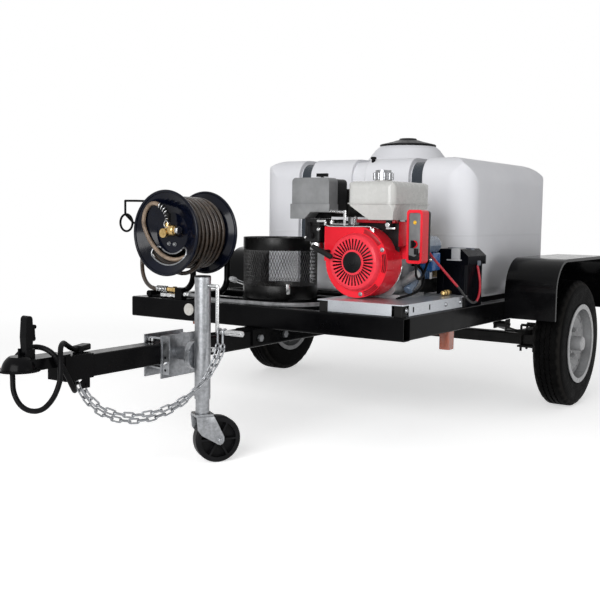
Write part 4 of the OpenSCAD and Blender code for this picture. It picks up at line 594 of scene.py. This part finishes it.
def run_mesh(name, points, diameter, sides):
    """A round run along points, closed at both ends, with a map of the run for its skin."""
    tangents = []
    for i in range(len(points)):
        tangents.append((points[min(i + 1, len(points) - 1)] - points[max(i - 1, 0)]).normalized())
    side = tangents[0].orthogonal().normalized()
    corners = []
    for point, tangent in zip(points, tangents):
        side = (side - side.dot(tangent) * tangent).normalized()
        over = tangent.cross(side)
        for k in range(sides):
            a = 2 * math.pi * k / sides
            corners.append(point + diameter / 2 * (math.cos(a) * side + math.sin(a) * over))
    gone = lengths_along(points)
    faces, maps = [], []
    for i in range(len(points) - 1):
        for k in range(sides):
            n = (k + 1) % sides
            faces.append((i * sides + k, i * sides + n, (i + 1) * sides + n, (i + 1) * sides + k))
            maps.append([(gone[i], k / sides), (gone[i], (k + 1) / sides), (gone[i + 1], (k + 1) / sides),
                         (gone[i + 1], k / sides)])
    last = (len(points) - 1) * sides
    faces.append(tuple(reversed(range(sides))))
    maps.append([(0.0, 0.5)] * sides)
    faces.append(tuple(range(last, last + sides)))
    maps.append([(gone[-1], 0.5)] * sides)
    mesh = bpy.data.meshes.new(name)
    mesh.from_pydata([tuple(c) for c in corners], [], faces)
    layer = mesh.uv_layers.new(name="run")
    for face, spots in zip(mesh.polygons, maps):
        face.use_smooth = len(face.vertices) == 4
        for loop, spot in zip(face.loop_indices, spots):
            layer.data[loop].uv = spot
    return mesh


def round_run(name, points, diameter, sides, skin, body="trailer", solids=()):
    """A hose, cord, rod or spring along points, finished and put on its body."""
    mesh = run_mesh(name, points, diameter, sides)
    mesh.materials.append(FINISHES[skin])
    piece = bpy.data.objects.new(name, mesh)
    bpy.context.scene.collection.objects.link(piece)
    return put_on(piece, body, solids)


def lay_cord(name, route, diameter, sides, skin, solids=(), **told):
    """A free cord along its route."""
    path = smoothed(route)
    piece = round_run(name, path, diameter, sides, skin, "trailer", solids)


def jumper_path():
    return smoothed([[h + p for h, p in zip(HUB, place)] for place in JUMPER_ROUTE])


def lay_cords(hose_end):
    lay_cord("light_lead", LEAD_ROUTE, LEAD_D, 16, "lead_black", ["lead_loop"], far_end="plug", lay="hanging",
             with_pieces=[nodes["lead_plug"]])
    lay_cord("battery_lead", CABLE_ROUTE, WIRE_D, 14, "cable_red", ["battery_cable"], far_end="object", lay="hanging")
    lay_cord("reel_supply_hose", SUPPLY_ROUTE, LEAD_D, 16, "hose_grey", ["supply_hose"], far_end="object")
    lay_cord("reel_inlet_hose", TAIL_ROUTE, HOSE_D, 16, "hose_brown", ["hose_tail"], far_end="fitting", lay="hanging",
             with_pieces=hose_end)
    lay_cord("panel_loom", PANEL_ROUTE, WIRE_D, 12, "lead_black", far_end="object", lay="hanging")
    lay_cord("engine_loom", LOOM_ROUTE, WIRE_D, 12, "lead_black", far_end="object", lay="hanging")
    round_run("hub_hose", jumper_path(), HOSE_D, 16, "hose_tan", "reel", ["reel_jumper"])


def on_drum(x, radius, a):
    return at(x, HUB_Y + radius * math.cos(a), HUB_Z + radius * math.sin(a))


def wind_hose():
    """The wound hose: loose outer turns, one of them slack under the drum, over a close layer in their shade."""
    loose, close = [], []
    loose_turns = len(LOOSE_STARTS) - 1
    for i in range(loose_turns * WIND_STEPS + 1):
        turn = i / WIND_STEPS
        k = min(int(turn), loose_turns - 1)
        a = 2 * math.pi * turn
        slack = SLACK * max(0.0, -math.sin(a)) ** 3 if k == SLACK_TURN else 0.0
        x = LOOSE_STARTS[k] + (LOOSE_STARTS[k + 1] - LOOSE_STARTS[k]) * (turn - k)
        loose.append(on_drum(x, LOOSE_R + slack + 1.2 * math.sin(3 * a + turn), a))
    for i in range(CLOSE_TURNS * WIND_STEPS + 1):
        turn = i / WIND_STEPS
        close.append(on_drum(CLOSE_START + turn * CLOSE_PITCH, CLOSE_R, 2 * math.pi * turn))
    round_run("wound_hose", loose, HOSE_D, 14, "hose_brown", "reel", ["reel_hose"])
    round_run("wound_hose_under", close, HOSE_D, 14, "hose_shaded", "reel", ["reel_hose"])


def coil(start, end, turns, width):
    """Points of a tension spring between two places, with its ends drawn to the middle."""
    a, b = at(*start), at(*end)
    way = (b - a).normalized()
    side = way.orthogonal().normalized()
    over = way.cross(side)
    points = [a]
    for k in range(turns * COIL_STEPS + 1):
        angle = 2 * math.pi * k / COIL_STEPS
        share = 0.06 + 0.88 * k / (turns * COIL_STEPS)
        points.append(a + (b - a) * share + width / 2000 * (math.cos(angle) * side + math.sin(angle) * over))
    return points + [b]


def spiral(points, turns, width):
    """Points of a spring guard wound round a run that lies across the reel's axis."""
    gone = lengths_along(points)
    along = Vector((1, 0, 0))
    wound = []
    for k in range(turns * GUARD_STEPS + 1):
        reach = gone[-1] * k / (turns * GUARD_STEPS)
        i = max(j for j in range(len(points) - 1) if gone[j] <= reach)
        way = (points[i + 1] - points[i]).normalized()
        spot = points[i] + way * (reach - gone[i])
        over = way.cross(along).normalized()
        a = 2 * math.pi * k / GUARD_STEPS
        wound.append(spot + width / 2000 * (math.cos(a) * along + math.sin(a) * over))
    return wound


# Ways of making a piece

SHARP, ROUND = math.radians(35), math.radians(40)  # edges above the first are softened, below the second shaded round


def start_clean():
    if bpy.context.object and bpy.context.object.mode != "OBJECT":
        bpy.ops.object.mode_set(mode="OBJECT")
    bpy.ops.object.select_all(action="DESELECT")


def pick_up(piece):
    start_clean()
    piece.select_set(True)
    bpy.context.view_layer.objects.active = piece


def bake_place():
    bpy.ops.object.transform_apply(location=True, rotation=True, scale=True)


def open_mesh():
    bpy.ops.object.mode_set(mode="EDIT")
    bpy.ops.mesh.select_all(action="SELECT")


def close_mesh():
    """Turn all faces of the open mesh outward and close it."""
    bpy.ops.mesh.select_all(action="SELECT")
    bpy.ops.mesh.normals_make_consistent(inside=False)
    bpy.ops.object.mode_set(mode="OBJECT")


def worked(piece, kind, **settings):
    """Change a piece's mesh by one modifier."""
    pick_up(piece)
    step = piece.modifiers.new(kind.lower(), kind)
    for key, value in settings.items():
        setattr(step, key, value)
    bpy.ops.object.modifier_apply(modifier=step.name)
    return piece


def soften(piece, width, steps=2):
    """Break the sharp edges with a small bevel, and shade what is round as round."""
    worked(piece, "BEVEL", width=width / 1000, segments=steps, limit_method="ANGLE", angle_limit=SHARP)
    bpy.ops.object.shade_smooth_by_angle(angle=ROUND)
    return piece


def joined(pieces):
    start_clean()
    for piece in pieces:
        piece.select_set(True)
    bpy.context.view_layer.objects.active = pieces[0]
    bpy.ops.object.join()
    return pieces[0]


def settle(piece, name, material, body="trailer", solids=()):
    """Bake a piece's place into its mesh, name it, finish it and put it on its body."""
    pick_up(piece)
    bake_place()
    piece.name = piece.data.name = name
    piece.data.materials.clear()
    piece.data.materials.append(FINISHES[material])
    return put_on(piece, body, solids)


def fit(piece, edge, name, material, body="trailer", solids=(), steps=2):
    """Soften a piece, or several as one, and settle it."""
    if isinstance(piece, list):
        piece = joined([soften(each, edge, steps) for each in piece])
    else:
        soften(piece, edge, steps)
    return settle(piece, name, material, body, solids)


def turned(steps, sides, place, way=UP):
    """A turned piece: a disc drawn up through (height, radius) steps, stood at a place and pointed a way."""
    start_clean()
    bpy.ops.mesh.primitive_circle_add(vertices=sides, radius=steps[0][1] / 1000, fill_type="NGON")
    piece = bpy.context.object
    open_mesh()
    for (low, before), (high, after) in zip(steps, steps[1:]):
        bpy.ops.mesh.extrude_region_move(TRANSFORM_OT_translate={"value": (0, 0, (high - low) / 1000)})
        bpy.ops.transform.resize(value=(after / before, after / before, 1), center_override=(0, 0, 0))
    close_mesh()
    piece.rotation_euler = Vector(UP).rotation_difference(Vector(way)).to_euler()
    piece.location = at(*place)
    bake_place()
    return piece


def ringed(low, high, radius, groove, count):
    """Steps of a ribbed sleeve: count ribs between two heights."""
    pitch = (high - low) / count
    steps = []
    for i in range(count):
        base = low + i * pitch
        steps += [(base, radius), (base + pitch * 0.58, radius), (base + pitch * 0.62, radius - groove),
                  (base + pitch * 0.98, radius - groove)]
    return steps + [(high, radius - groove)]


def headed(washer, seat, radius, height, top, crown):
    """A bolt head's steps: radius and top of the washer, radius and height of the head, top and radius of the crown."""
    return [(0, washer), (seat, washer), (seat, radius), (height, radius), (top, crown)]


def block(low, high, turn=0):
    """A box between two corners, turned about its own upright middle."""
    start_clean()
    bpy.ops.mesh.primitive_cube_add(size=1, location=at(*((a + b) / 2 for a, b in zip(low, high))))
    piece = bpy.context.object
    piece.scale = [(b - a) / 1000 for a, b in zip(low, high)]
    piece.rotation_euler.z = math.radians(turn)
    bake_place()
    return piece


def drawn(corners, way):
    """A flat outline drawn out along a way."""
    start_clean()
    bpy.ops.mesh.primitive_circle_add(vertices=len(corners), radius=0.1, fill_type="NGON")
    piece = bpy.context.object
    for vertex, corner in zip(piece.data.vertices, corners):
        vertex.co = corner
    open_mesh()
    bpy.ops.mesh.extrude_region_move(TRANSFORM_OT_translate={"value": way})
    close_mesh()
    return piece


def cut_plate(outline, low, high):
    """A plate with an outline of (y, z) corners, from one x to another."""
    return drawn([at(low, y, z) for y, z in outline], ((high - low) / 1000, 0, 0))


SHAFT = (-357, 631)  # y and z of the engine's shaft


def round_shaft(radius, degrees):
    a = math.radians(degrees)
    return SHAFT[0] + radius * math.cos(a), SHAFT[1] + radius * math.sin(a)


def arc_plate(inner, outer, first, last, low, high):
    """A plate bent round the engine's shaft: between two radii and two angles, from one x to another."""
    steps = max(4, int(abs(last - first) / 4))
    turns = [first + (last - first) * k / steps for k in range(steps + 1)]
    outline = [round_shaft(inner, t) for t in turns] + [round_shaft(outer, t) for t in reversed(turns)]
    return cut_plate(outline, low, high)


# Pieces of the wheels, the basket, the hoses' ends and the engine

TREAD_STEPS = 144
GROOVES = (20, 0, -20)
TYRE_WALL = [(153, 30), (153, 47), (158, 55), (167, 58.6), (190, 59.8), (222, 60), (240, 58.6), (250, 54.6), (258, 49),
             (263.4, 43), (266, 38)]  # radius and half width
ZIGZAG, NOTCH = 0.0023, 0.0045
BASKET = (-850, 150, 461)  # middle of the basket's foot
STRAND_R = 147.6
SHADE_LINING = (-22, 0)  # angles that the dark lining, a sheet of painted shade, reaches between
SHADE_LINING_STEPS = 24


def make_tyres():
    """Tyres with four ribs, zig-zag grooves between them and notched shoulders."""
    tread = []
    for middle in GROOVES:
        tread += [(266.5, middle + 3.4), (260, middle + 2.4), (260, middle - 2.4), (266.5, middle - 3.4)]
    outline = TYRE_WALL + tread + [(r, -y) for r, y in reversed(TYRE_WALL)]
    for name, body, side in (("left_tread_tyre", "left_wheel", -1), ("right_tread_tyre", "right_wheel", 1)):
        start_clean()
        bpy.ops.mesh.primitive_circle_add(vertices=len(outline), radius=0.1)
        piece = bpy.context.object
        for corner, (r, y) in zip(piece.data.vertices, outline):
            corner.co = (r / 1000, y / 1000, 0)
        open_mesh()
        bpy.ops.mesh.spin(steps=TREAD_STEPS, angle=2 * math.pi, center=(0, 0, 0), axis=(0, 1, 0))
        bpy.ops.mesh.select_all(action="SELECT")
        bpy.ops.mesh.remove_doubles(threshold=0.00002)
        close_mesh()
        for corner in piece.data.vertices:
            x, y, z = corner.co
            out = math.hypot(x, z)
            step = round(math.atan2(z, x) / (2 * math.pi) * TREAD_STEPS) % TREAD_STEPS
            if out > 0.259 and abs(y) < 0.03:
                corner.co.y += ZIGZAG if step % 2 else -ZIGZAG
            elif out > 0.257 and abs(y) > 0.041 and step % 4 < 2:
                share = (out - NOTCH) / out
                corner.co.x *= share
                corner.co.z *= share
        piece.location = at(0, side * WHEEL_Y, WHEEL_Z)
        pick_up(piece)
        bpy.ops.object.shade_smooth_by_angle(angle=math.radians(28))
        settle(piece, name, "tyre_skin", body, [body.replace("wheel", "tyre")])


def strand_wall(low, high, columns, rows, thick):
    """A round wall of expanded metal: rows of diamonds, every second row half a diamond on."""
    corners, faces = [], []
    for j in range(rows + 1):
        for i in range(columns):
            a = 2 * math.pi * (i + j % 2 / 2 + 0.25) / columns
            height = low + (high - low) * j / rows
            corners.append((STRAND_R * math.cos(a) / 1000, STRAND_R * math.sin(a) / 1000, height / 1000))
    for j in range(rows - 1):
        for i in range(columns):
            left = (i - 1) % columns if j % 2 == 0 else i
            right = i if j % 2 == 0 else (i + 1) % columns
            faces.append((j * columns + i, (j + 1) * columns + right, (j + 2) * columns + i, (j + 1) * columns + left))
    mesh = bpy.data.meshes.new("strands")
    mesh.from_pydata(corners, [], faces)
    piece = bpy.data.objects.new("strands", mesh)
    bpy.context.scene.collection.objects.link(piece)
    worked(piece, "WIREFRAME", thickness=thick / 1000, use_even_offset=False)
    piece.location = at(*BASKET)
    return piece


def make_basket():
    """Basket: a wall of expanded metal between a rim band and a low sleeve, part lined with a dark sheet that paints
    the shade inside it, with a latch and a spout.
    """
    x, y, foot = BASKET
    settle(strand_wall(66, 196, 80, 9, 1.9), "basket_mesh", "mesh_black", solids=["basket"])
    settle(strand_wall(50, 70, 126, 4, 2.0), "basket_low_mesh", "mesh_black")
    for name, low, high in (("basket_band", 192, 242), ("basket_sleeve", 2, 54)):
        start_clean()
        bpy.ops.mesh.primitive_cylinder_add(vertices=96, radius=0.15, depth=(high - low) / 1000,
                                            end_fill_type="NOTHING", location=at(x, y, foot + (low + high) / 2))
        band = worked(bpy.context.object, "SOLIDIFY", thickness=0.003, offset=-1)
        fit(band, 1.0, name, "band_black", solids=["basket"])
    fit(turned([(0, 147), (1, 148.5), (2.5, 148.5), (3, 147.5)], 96, BASKET), 0.4, "basket_floor", "frame_black")

    # A dark sheet inside part of the wall: painted shade seen through the mesh.
    first, last = SHADE_LINING
    turns = [math.radians(first + (last - first) * k / (SHADE_LINING_STEPS - 1)) for k in range(SHADE_LINING_STEPS)]
    rim = [(141, a) for a in turns] + [(143, a) for a in reversed(turns)]
    shade_lining = drawn([at(x + r * math.cos(a), y + r * math.sin(a), foot + 3) for r, a in rim], (0, 0, 0.196))
    fit(shade_lining, 0.4, "basket_shade_lining", "battery_black")

    fit(block((-957.5, 28, 484), (-953.5, 44, 524), 47), 1.6, "basket_latch", "bright_steel", steps=3)
    round_run("basket_spout", smoothed(SPOUT_ROUTE, 8), 0.013, 16, "bright_steel")
    ribs = [(0, 7)] + ringed(1, 24, 11.5, 1.4, 6) + [(25, 8.5), (31, 8.5), (32, 7)]
    fit(turned(ribs, 32, (-916, 330, 523), (-0.96, 0, 0.28)), 0.3, "spout_ferrule", "strap_grey")


def make_fittings():
    """Hose ends: ribbed guards, brass couplers, the plated swivel on the supply hose."""
    fit(turned(ringed(0, 34, 12.2, 2.4, 5), 28, (-1189, 450, 758)), 0.5, "hub_hose_boot", "soft_black",
        "reel", ["reel_jumper"])
    guard = fit(turned(ringed(0, 57, 11, 1.8, 8), 28, (-1202, 493.0, 497), NEAR), 0.5, "hose_guard", "soft_black",
                solids=["hose_coupler"])
    neck = turned([(0, 8.6), (1, 9.5), (10, 9.5), (11, 8.4), (15, 8.4), (16, 9.5), (25, 9.5), (26, 9)], 32,
                  (-1202, 435.6, 497), NEAR)
    nut = turned([(0, 12.2), (1.2, 13), (18, 13), (19.6, 12)], 6, (-1202, 409.4, 497), NEAR)
    coupler = settle(joined([soften(neck, 0.4), soften(nut, 0.7)]), "hose_brass_end", "brass", solids=["hose_coupler"])
    crimp = turned([(0, 8.2), (1, 9.4), (12, 9.4), (13, 8.6), (15, 8.6)], 32, (-1202, 323.5, 482), FAR)
    nut = turned([(0, 10.2), (1, 11), (14, 11), (15, 10.2)], 6, (-1202, 338.8, 482), FAR)
    settle(joined([soften(crimp, 0.4), soften(nut, 0.6)]), "supply_swivel", "bright_steel",
           solids=["supply_hose"])
    return [guard, coupler]


def make_engine_trim():
    """Trim on the engine's shroud, the float bowl, and the control box's panel, lamp and breaker."""
    front = from_axle(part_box("recoil_cover")[0].x)
    disc = [(0, 35), (0.8, 37), (2.0, 37), (2.6, 36), (2.6, 12), (4.2, 11), (4.6, 9.5)]
    fit(turned(disc, 64, (front + 0.6, *SHAFT), FORWARD), 0.3, "recoil_centre", "black_moulding")
    screw = headed(8, 1.4, 5.4, 6.0, 6.8, 4.6)
    heads = [turned(screw, 24, (-1104.5, SHAFT[0] + y, SHAFT[1] + z), FORWARD) for y, z in ((-104, 46), (-21, -111))]
    fit(heads, 0.4, "shroud_screws", "zinc_plate")
    # The recessed plate takes the darkest red: painted shade of its recess.
    fit(arc_plate(105, 120, 106, 146, -1105.2, -1103.5), 0.6, "shroud_plate", "shroud_red_deep_painted_shade")
    # Black bars stand in for the louvre openings: the dark flywheel behind them and painted shade.
    louvre_shades = [arc_plate(radius, radius + 2.8, first, last, -1105.4, -1103.5)
            for radius in (107, 113, 119) for first, last in ((164, 196), (222, 252))]
    fit(louvre_shades, 0.4, "shroud_louvre_shades", "black_moulding")
    fit(arc_plate(125.2, 128.5, 186, 214, -1002, -997), 0.5, "shroud_edging", "bright_steel")
    bowl = [(0, 19), (3, 25.2), (6, 26.8), (32, 26.8), (34, 25.6)]
    fit(turned(bowl, 48, (-1054, -162, 663)), 1.0, "float_bowl", "bright_steel")

    fit(block((-1067.4, -586.5, 643.5), (-1065.6, -543.5, 804.5)), 0.4, "control_panel", "panel_grey")
    foot = [(-586, 644), (-544, 644), (-544, 662), (-566, 656), (-586, 672)]
    fit(cut_plate(foot, -1068.6, -1066.5), 0.5, "control_panel_foot", "black_moulding")
    bulb = [(0, 6.5), (1, 6.5), (1, 5), (3.5, 4.6), (5, 2.5)]
    fit(turned(bulb, 24, (-1067.2, -565, 772), FORWARD), 0.4, "oil_warning_light", "amber_lens")
    fit(block((-1026, -593, 641), (-1000, -537, 811)), 7, "control_box_rear", "black_moulding", steps=3)
    fit(block((-1073, -580, 664), (-1066.5, -566, 684)), 1.2, "circuit_breaker", "black_moulding")


def make_linkage():
    """Rods, springs and screws of the governor and the carburettor, plates round the tank, black plates that paint the
    shade under the tank and by the pump, and the fuel tap.
    """
    round_run("governor_rod", smoothed(GOVERNOR_ROUTE), 0.0045, 10, "bright_steel")
    throttle_coil = coil((-1100, -241, 808), (-1100, -304, 804), 10, 9.5)
    round_run("throttle_spring", throttle_coil, 0.0022, 6, "bright_steel")
    governor_coil = coil((-1101, -344, 757), (-1097, -347, 792), 9, 7.5)
    round_run("governor_spring", governor_coil, 0.0016, 6, "bright_steel")

    plates = [
        block((-1100, -310, 757), (-1097, -300, 811)),
        cut_plate([(-426, 728), (-408, 728), (-404, 742), (-412, 752), (-424, 748)], -1100.5, -1098),
        block((-1106, -229, 768), (-1102.5, -192, 776)),
        block((-1103, -229, 757), (-1099, -221, 772)),
    ]
    plates = [soften(plate, 0.8) for plate in plates] + [soften(block((-1100, -424, 722), (-1096.5, -410, 734)), 0.6)]
    settle(joined(plates), "governor_plates", "bright_steel")
    screws = []
    for place, way, size, sides in (((-1092.5, -191, 742), FORWARD, 5.4, 6), ((-1052, -128.5, 722), FAR, 8.0, 6),
                                    ((-1092.5, -134, 712), FORWARD, 3.6, 20)):
        screws.append(turned(headed(size * 1.3, 1.2, size, size, size + 0.8, size * 0.8), sides, place, way))
    fit(screws, 0.4, "carburettor_screws", "bright_steel")

    # A black plate under the tank stands in for the shade there: painted shade.
    under = [round_shaft(126, 90 + 7 * k) for k in range(11)]
    shield = [(-325, 780), (-325, 757)] + under + [(-489, 668), (-489, 780)]
    fit(cut_plate(shield, -1034, -1030), 0.8, "shade_plate_under_tank", "carb_black")
    # Brace and ear under the tank take the darkest red: painted shade.
    fit(block((-1062, -486, 768), (-1036, -330, 780)), 2.0, "tank_brace", "shroud_red_deep_painted_shade")
    ear = [(-526, 694), (-526, 774), (-490, 774), (-490, 686)]
    fit(cut_plate(ear, -1043, -1037), 1.6, "shroud_ear", "shroud_red_deep_painted_shade")
    # A black plate by the pump stands in for its dark hoses and fittings and for the shade behind the crankcase: partly
    # painted shade.
    fit(block((-790, -442, 504), (-636, -437, 558)), 1.4, "pump_dark_parts_and_shade_plate", "carb_black")

    fit(block((-1072, -474, 742), (-1052, -454, 784)), 2.0, "fuel_tap", "black_moulding", steps=3)
    handle = block((-1077, -494, 747), (-1071, -458, 754))
    collar = turned([(0, 8), (1, 9), (6, 9), (7, 8)], 24, (-1071, -464, 762), FORWARD)
    settle(joined([soften(handle, 1.2), soften(collar, 0.5)]), "fuel_tap_handle", "bright_steel")


def make_electrics():
    """Starter's solenoid and stud, the oil tube's casting, the battery's straps and a loose fitting on the tray."""
    fit(block((-842, -526, 597), (-783, -472, 662)), 5.0, "solenoid_cap", "cap_blue", steps=3)
    stud = [(0, 9), (2, 9), (2, 6), (10, 6), (10, 3.2), (15, 3.0)]
    fit(turned(stud, 20, (-841, -512, 638), FORWARD), 0.4, "solenoid_stud", "bright_steel")
    casting = [(0, 13), (3, 17), (32, 17), (34, 19.5), (60, 19.5), (62, 16), (104, 15), (108, 12)]
    fit(turned(casting, 40, (-936, -474, 527), (0.78, 0, 0.62)), 1.2, "oil_tube_casting", "starter_blue")
    fit(block((-862, -523, 568), (-838, -520, 592), 10), 0.8, "loom_connector", "strap_grey")

    clamp = [
        block((-693, -562, 672.5), (-640, -526, 676)),
        block((-693.5, -562, 634), (-689.5, -526, 676)),
        block((-701, -568, 630), (-689.5, -510, 635)),
    ]
    fit(clamp, 1.2, "battery_clamp", "strap_grey")
    strap = [(-470, 672.5), (-470, 675.6), (-565, 675.6), (-597, 624), (-597, 610), (-593.5, 610), (-593.5, 622.5),
             (-563.5, 672.5)]
    fit(cut_plate(strap, -606, -578), 0.8, "battery_strap", "strap_slate")

    bolt = headed(9, 1.4, 6.4, 5.6, 6.2, 5.6)
    fit([turned(bolt, 6, (x, -599.5, 483), NEAR) for x in (-1180, -885, -765)], 0.4, "tray_bolts", "zinc_plate")
    # Black blocks on the tray's side paint the shade in its slots.
    slot_shades = [block((x - 4, -600.8, 474), (x + 4, -599, 492)) for x in (-1130, -1010)]
    fit(slot_shades, 0.5, "tray_slot_shades", "black_moulding")
    fitting = [(0, 7), (1, 8.2), (18, 8.2), (19, 10), (30, 10), (31, 8), (40, 8), (41, 10.5), (58, 10.5), (59, 7.6),
               (72, 7.2), (74, 6)]
    fit(turned(fitting, 24, (-802, -546, 514.2), (1, 0.05, 0)), 0.5, "loose_fitting", "brass")


# Pieces of the reel, the tank's top and the jack

DISH_R, FLANGE_R, DISH_DEPTH = 81, 161, 40
WINDOW_R = 104  # radius on which the ends of the flange's window are centred
WINDOW_ARCS = [  # which end an arc goes round, if it is not round the hub, its first and last angle, its radius
    (None, 228, 312, 126), (312, 312, 492, 22), (None, 312, 228, 82), (228, 48, 228, 22),
]
ARC_STEPS = 12
HOOK_Y, HOOK_Z = 617, 840
JACK_X, JACK_Y = -1655, -130
CASTER_TURN = -32
CHEEK_OUTLINE = [(-29, 154), (29, 154), (34, 144), (63, 86), (63, 72), (58, 63), (50, 59), (42, 62), (-12, 94),
                 (-25, 112)]
CHEEK_T = 4


def window_edge():
    """Points round the window in the reel's flange, on its dished face."""
    outline = []
    for end, first, last, radius in WINDOW_ARCS:
        for k in range(ARC_STEPS + 1):
            a = math.radians(first + (last - first) * k / ARC_STEPS)
            y, z = radius * math.cos(a), radius * math.sin(a)
            if end is not None:
                y += WINDOW_R * math.cos(math.radians(end))
                z += WINDOW_R * math.sin(math.radians(end))
            outline.append((y, z))
    edge = []
    for y, z in outline + outline[:2]:
        share = max(0.0, (math.hypot(y, z) - DISH_R) / (FLANGE_R - DISH_R))
        edge.append(at(HUB_X - DISH_DEPTH * share, HUB_Y + y, HUB_Z + z))
    return edge


def make_reel_trim():
    """Hook arm, spring guards on the hoses, the bright edge of the flange's window, and the swivels."""
    rear = from_axle(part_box("reel_stand")[1].x) - 24
    arm = [(-1189, 645, HOOK_Z), (-1189, 630, HOOK_Z), (-1184, 620, HOOK_Z), (-1170, HOOK_Y, HOOK_Z),
           (-1100, HOOK_Y, HOOK_Z), (rear - 60, HOOK_Y, HOOK_Z), (rear - 14, HOOK_Y, 836), (rear, HOOK_Y, 820),
           (rear, HOOK_Y, 752)]
    round_run("hook_arm", smoothed(arm), 0.009, 14, "frame_black")
    sleeve = jumper_path()[4:21]
    round_run("hub_hose_sleeve", sleeve, 0.0195, 16, "soft_black", "reel")
    round_run("hub_hose_spring", spiral(sleeve, 6, 21), 0.0042, 8, "bright_steel", "reel")
    ring = [at(-1203, 446 + 11 * math.cos(k / 16 * math.pi), 750 + 13 * math.sin(k / 16 * math.pi)) for k in range(33)]
    round_run("hub_hose_ring", ring, 0.0034, 8, "bright_steel", "reel")
    guard = [at(-1202, 492 - 4 * k, 497) for k in range(15)]
    round_run("inlet_hose_spring", spiral(guard, 7, 23), 0.0034, 8, "bright_steel")
    round_run("flange_opening_edge", window_edge(), 0.0075, 10, "zinc_plate", "reel")

    swivel = [(0, 10), (8, 12), (18, 19), (22, 21), (40, 21.5), (44, 19), (45, 14), (52, 14)]
    fit(turned(swivel, 32, (-1189, 456, 727), NEAR), 0.6, "swivel_brass_body", "brass", body="reel")
    nut = [(0, 15), (1, 16.5), (13, 16.5), (14, 15)]
    fit(turned(nut, 6, (-1189, 403, 727), NEAR), 0.7, "swivel_nut", "bright_steel", body="reel")
    bolt = headed(9, 2, 6, 8, 8.8, 5)
    bolts = [turned(bolt, 6, (HUB_X - 1, HUB_Y + y, HUB_Z + z), FORWARD) for y, z in ((14, -42), (-16, -44))]
    fit(bolts, 0.5, "hub_bolts", "zinc_plate", body="reel")
    inlet = [(0, 8), (1, 9.6), (14, 9.6), (15, 7.6), (24, 7.6), (25, 10), (44, 10), (45, 8.4), (56, 8.4), (58, 9.8),
             (76, 9.8), (78, 7)]
    fit(turned(inlet, 28, (-1206, 388, 474), FAR), 0.6, "block_swivel", "bright_steel")


def make_small_caps():
    """The tank's domed lid and vent, the jack tube's cap and the air cleaner's skirt."""
    low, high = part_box("tank_lid")
    reach = (high.x - low.x) * 500
    rise = (high.z - low.z) * 1000
    dome = [(0, reach - 5), (1.5, reach - 1), (8, reach - 1), (10, reach - 5), (15, reach * 0.80), (23, reach * 0.55),
            (29, reach * 0.40), (30, reach * 0.33), (rise - 1, reach * 0.30), (rise, reach * 0.28)]
    fit(turned(dome, 96, (-70, 0, low.z * 1000)), 0.8, "tank_dome_lid", "black_moulding", body="tank_lid",
        solids=["tank_lid"])
    vent = [(0, 8), (26, 8), (27, 12), (34, 12), (36, 10)]
    fit(turned(vent, 24, (-470, -52, 1004)), 0.6, "tank_vent", "black_moulding")
    cap = [(0, 25.4), (4, 25.8), (6, 24), (6, 17), (3, 16)]
    fit(turned(cap, 40, (JACK_X, JACK_Y, 593)), 0.6, "jack_cap", "black_moulding", body="jack")
    skirt = [(-239, 804), (-158, 804), (-132, 779), (-69, 779), (-69, 833), (-239, 833)]
    fit(cut_plate(skirt, -1098, -1093), 1.6, "air_cover_skirt", "grey_moulding")


def make_caster_cheeks():
    """Wide pressed cheeks over the caster's fork, with a bolt head on the axle and a pressed bead across each."""
    turn = math.radians(CASTER_TURN - 90)
    outward = Vector((math.cos(turn), math.sin(turn), 0))
    along = Vector((-outward.y, outward.x, 0))
    parts = []
    for off in (30.6, -34.6):
        low = MIDDLE_X + off
        plate = cut_plate(CHEEK_OUTLINE, low, low + CHEEK_T)
        bead = block((low + CHEEK_T / 2 - 3.4, -14, 136), (low + CHEEK_T / 2 + 3.4, 16, 141))
        for part in (plate, bead):
            part.rotation_euler.z = turn
            part.location = at(JACK_X, JACK_Y, 0)
            pick_up(part)
            bake_place()
            parts.append(soften(part, 1.2))
    spot = Vector((JACK_X, JACK_Y, 75)) + 34 * outward + 48 * along
    parts.append(soften(turned(headed(10, 2, 8, 8, 9, 6.6), 6, tuple(spot), tuple(outward)), 0.5))
    settle(joined(parts), "caster_cheeks", "zinc_plate", body="caster_fork")


def make_bracket_trim():
    """Black discs that paint the shade in punched holes and a bolt head in the jack bracket's front rib, and nuts on
    its upper front bolt.
    """
    face, across = -1742.2, -51
    # Thin black discs paint the shade in the bracket's punched holes.
    hole_shades = [turned([(0, 4.4), (0.5, 4.2)], 24, (face, across, height), FORWARD) for height in (340, 300)]
    settle(joined(hole_shades), "bracket_hole_shade_discs", "black_moulding")
    hardware = [turned([(0, 5.5), (4, 5.5), (5, 4.4)], 6, (face, across, 322), FORWARD)]
    for inner in (23.5, 9):
        hardware.append(turned([(0, 7.6), (1, 9.2), (7.4, 9.2), (8.4, 7.6)], 6, (-1727, inner, 391), FAR))
    settle(joined(hardware), "bracket_nuts", "bright_steel")


set_camera()
set_stage()
dress_solids()
hose_end = make_fittings()
lay_cords(hose_end)
wind_hose()
make_tyres()
make_basket()
make_engine_trim()
make_linkage()
make_electrics()
make_reel_trim()
make_small_caps()
make_caster_cheeks()
make_bracket_trim()
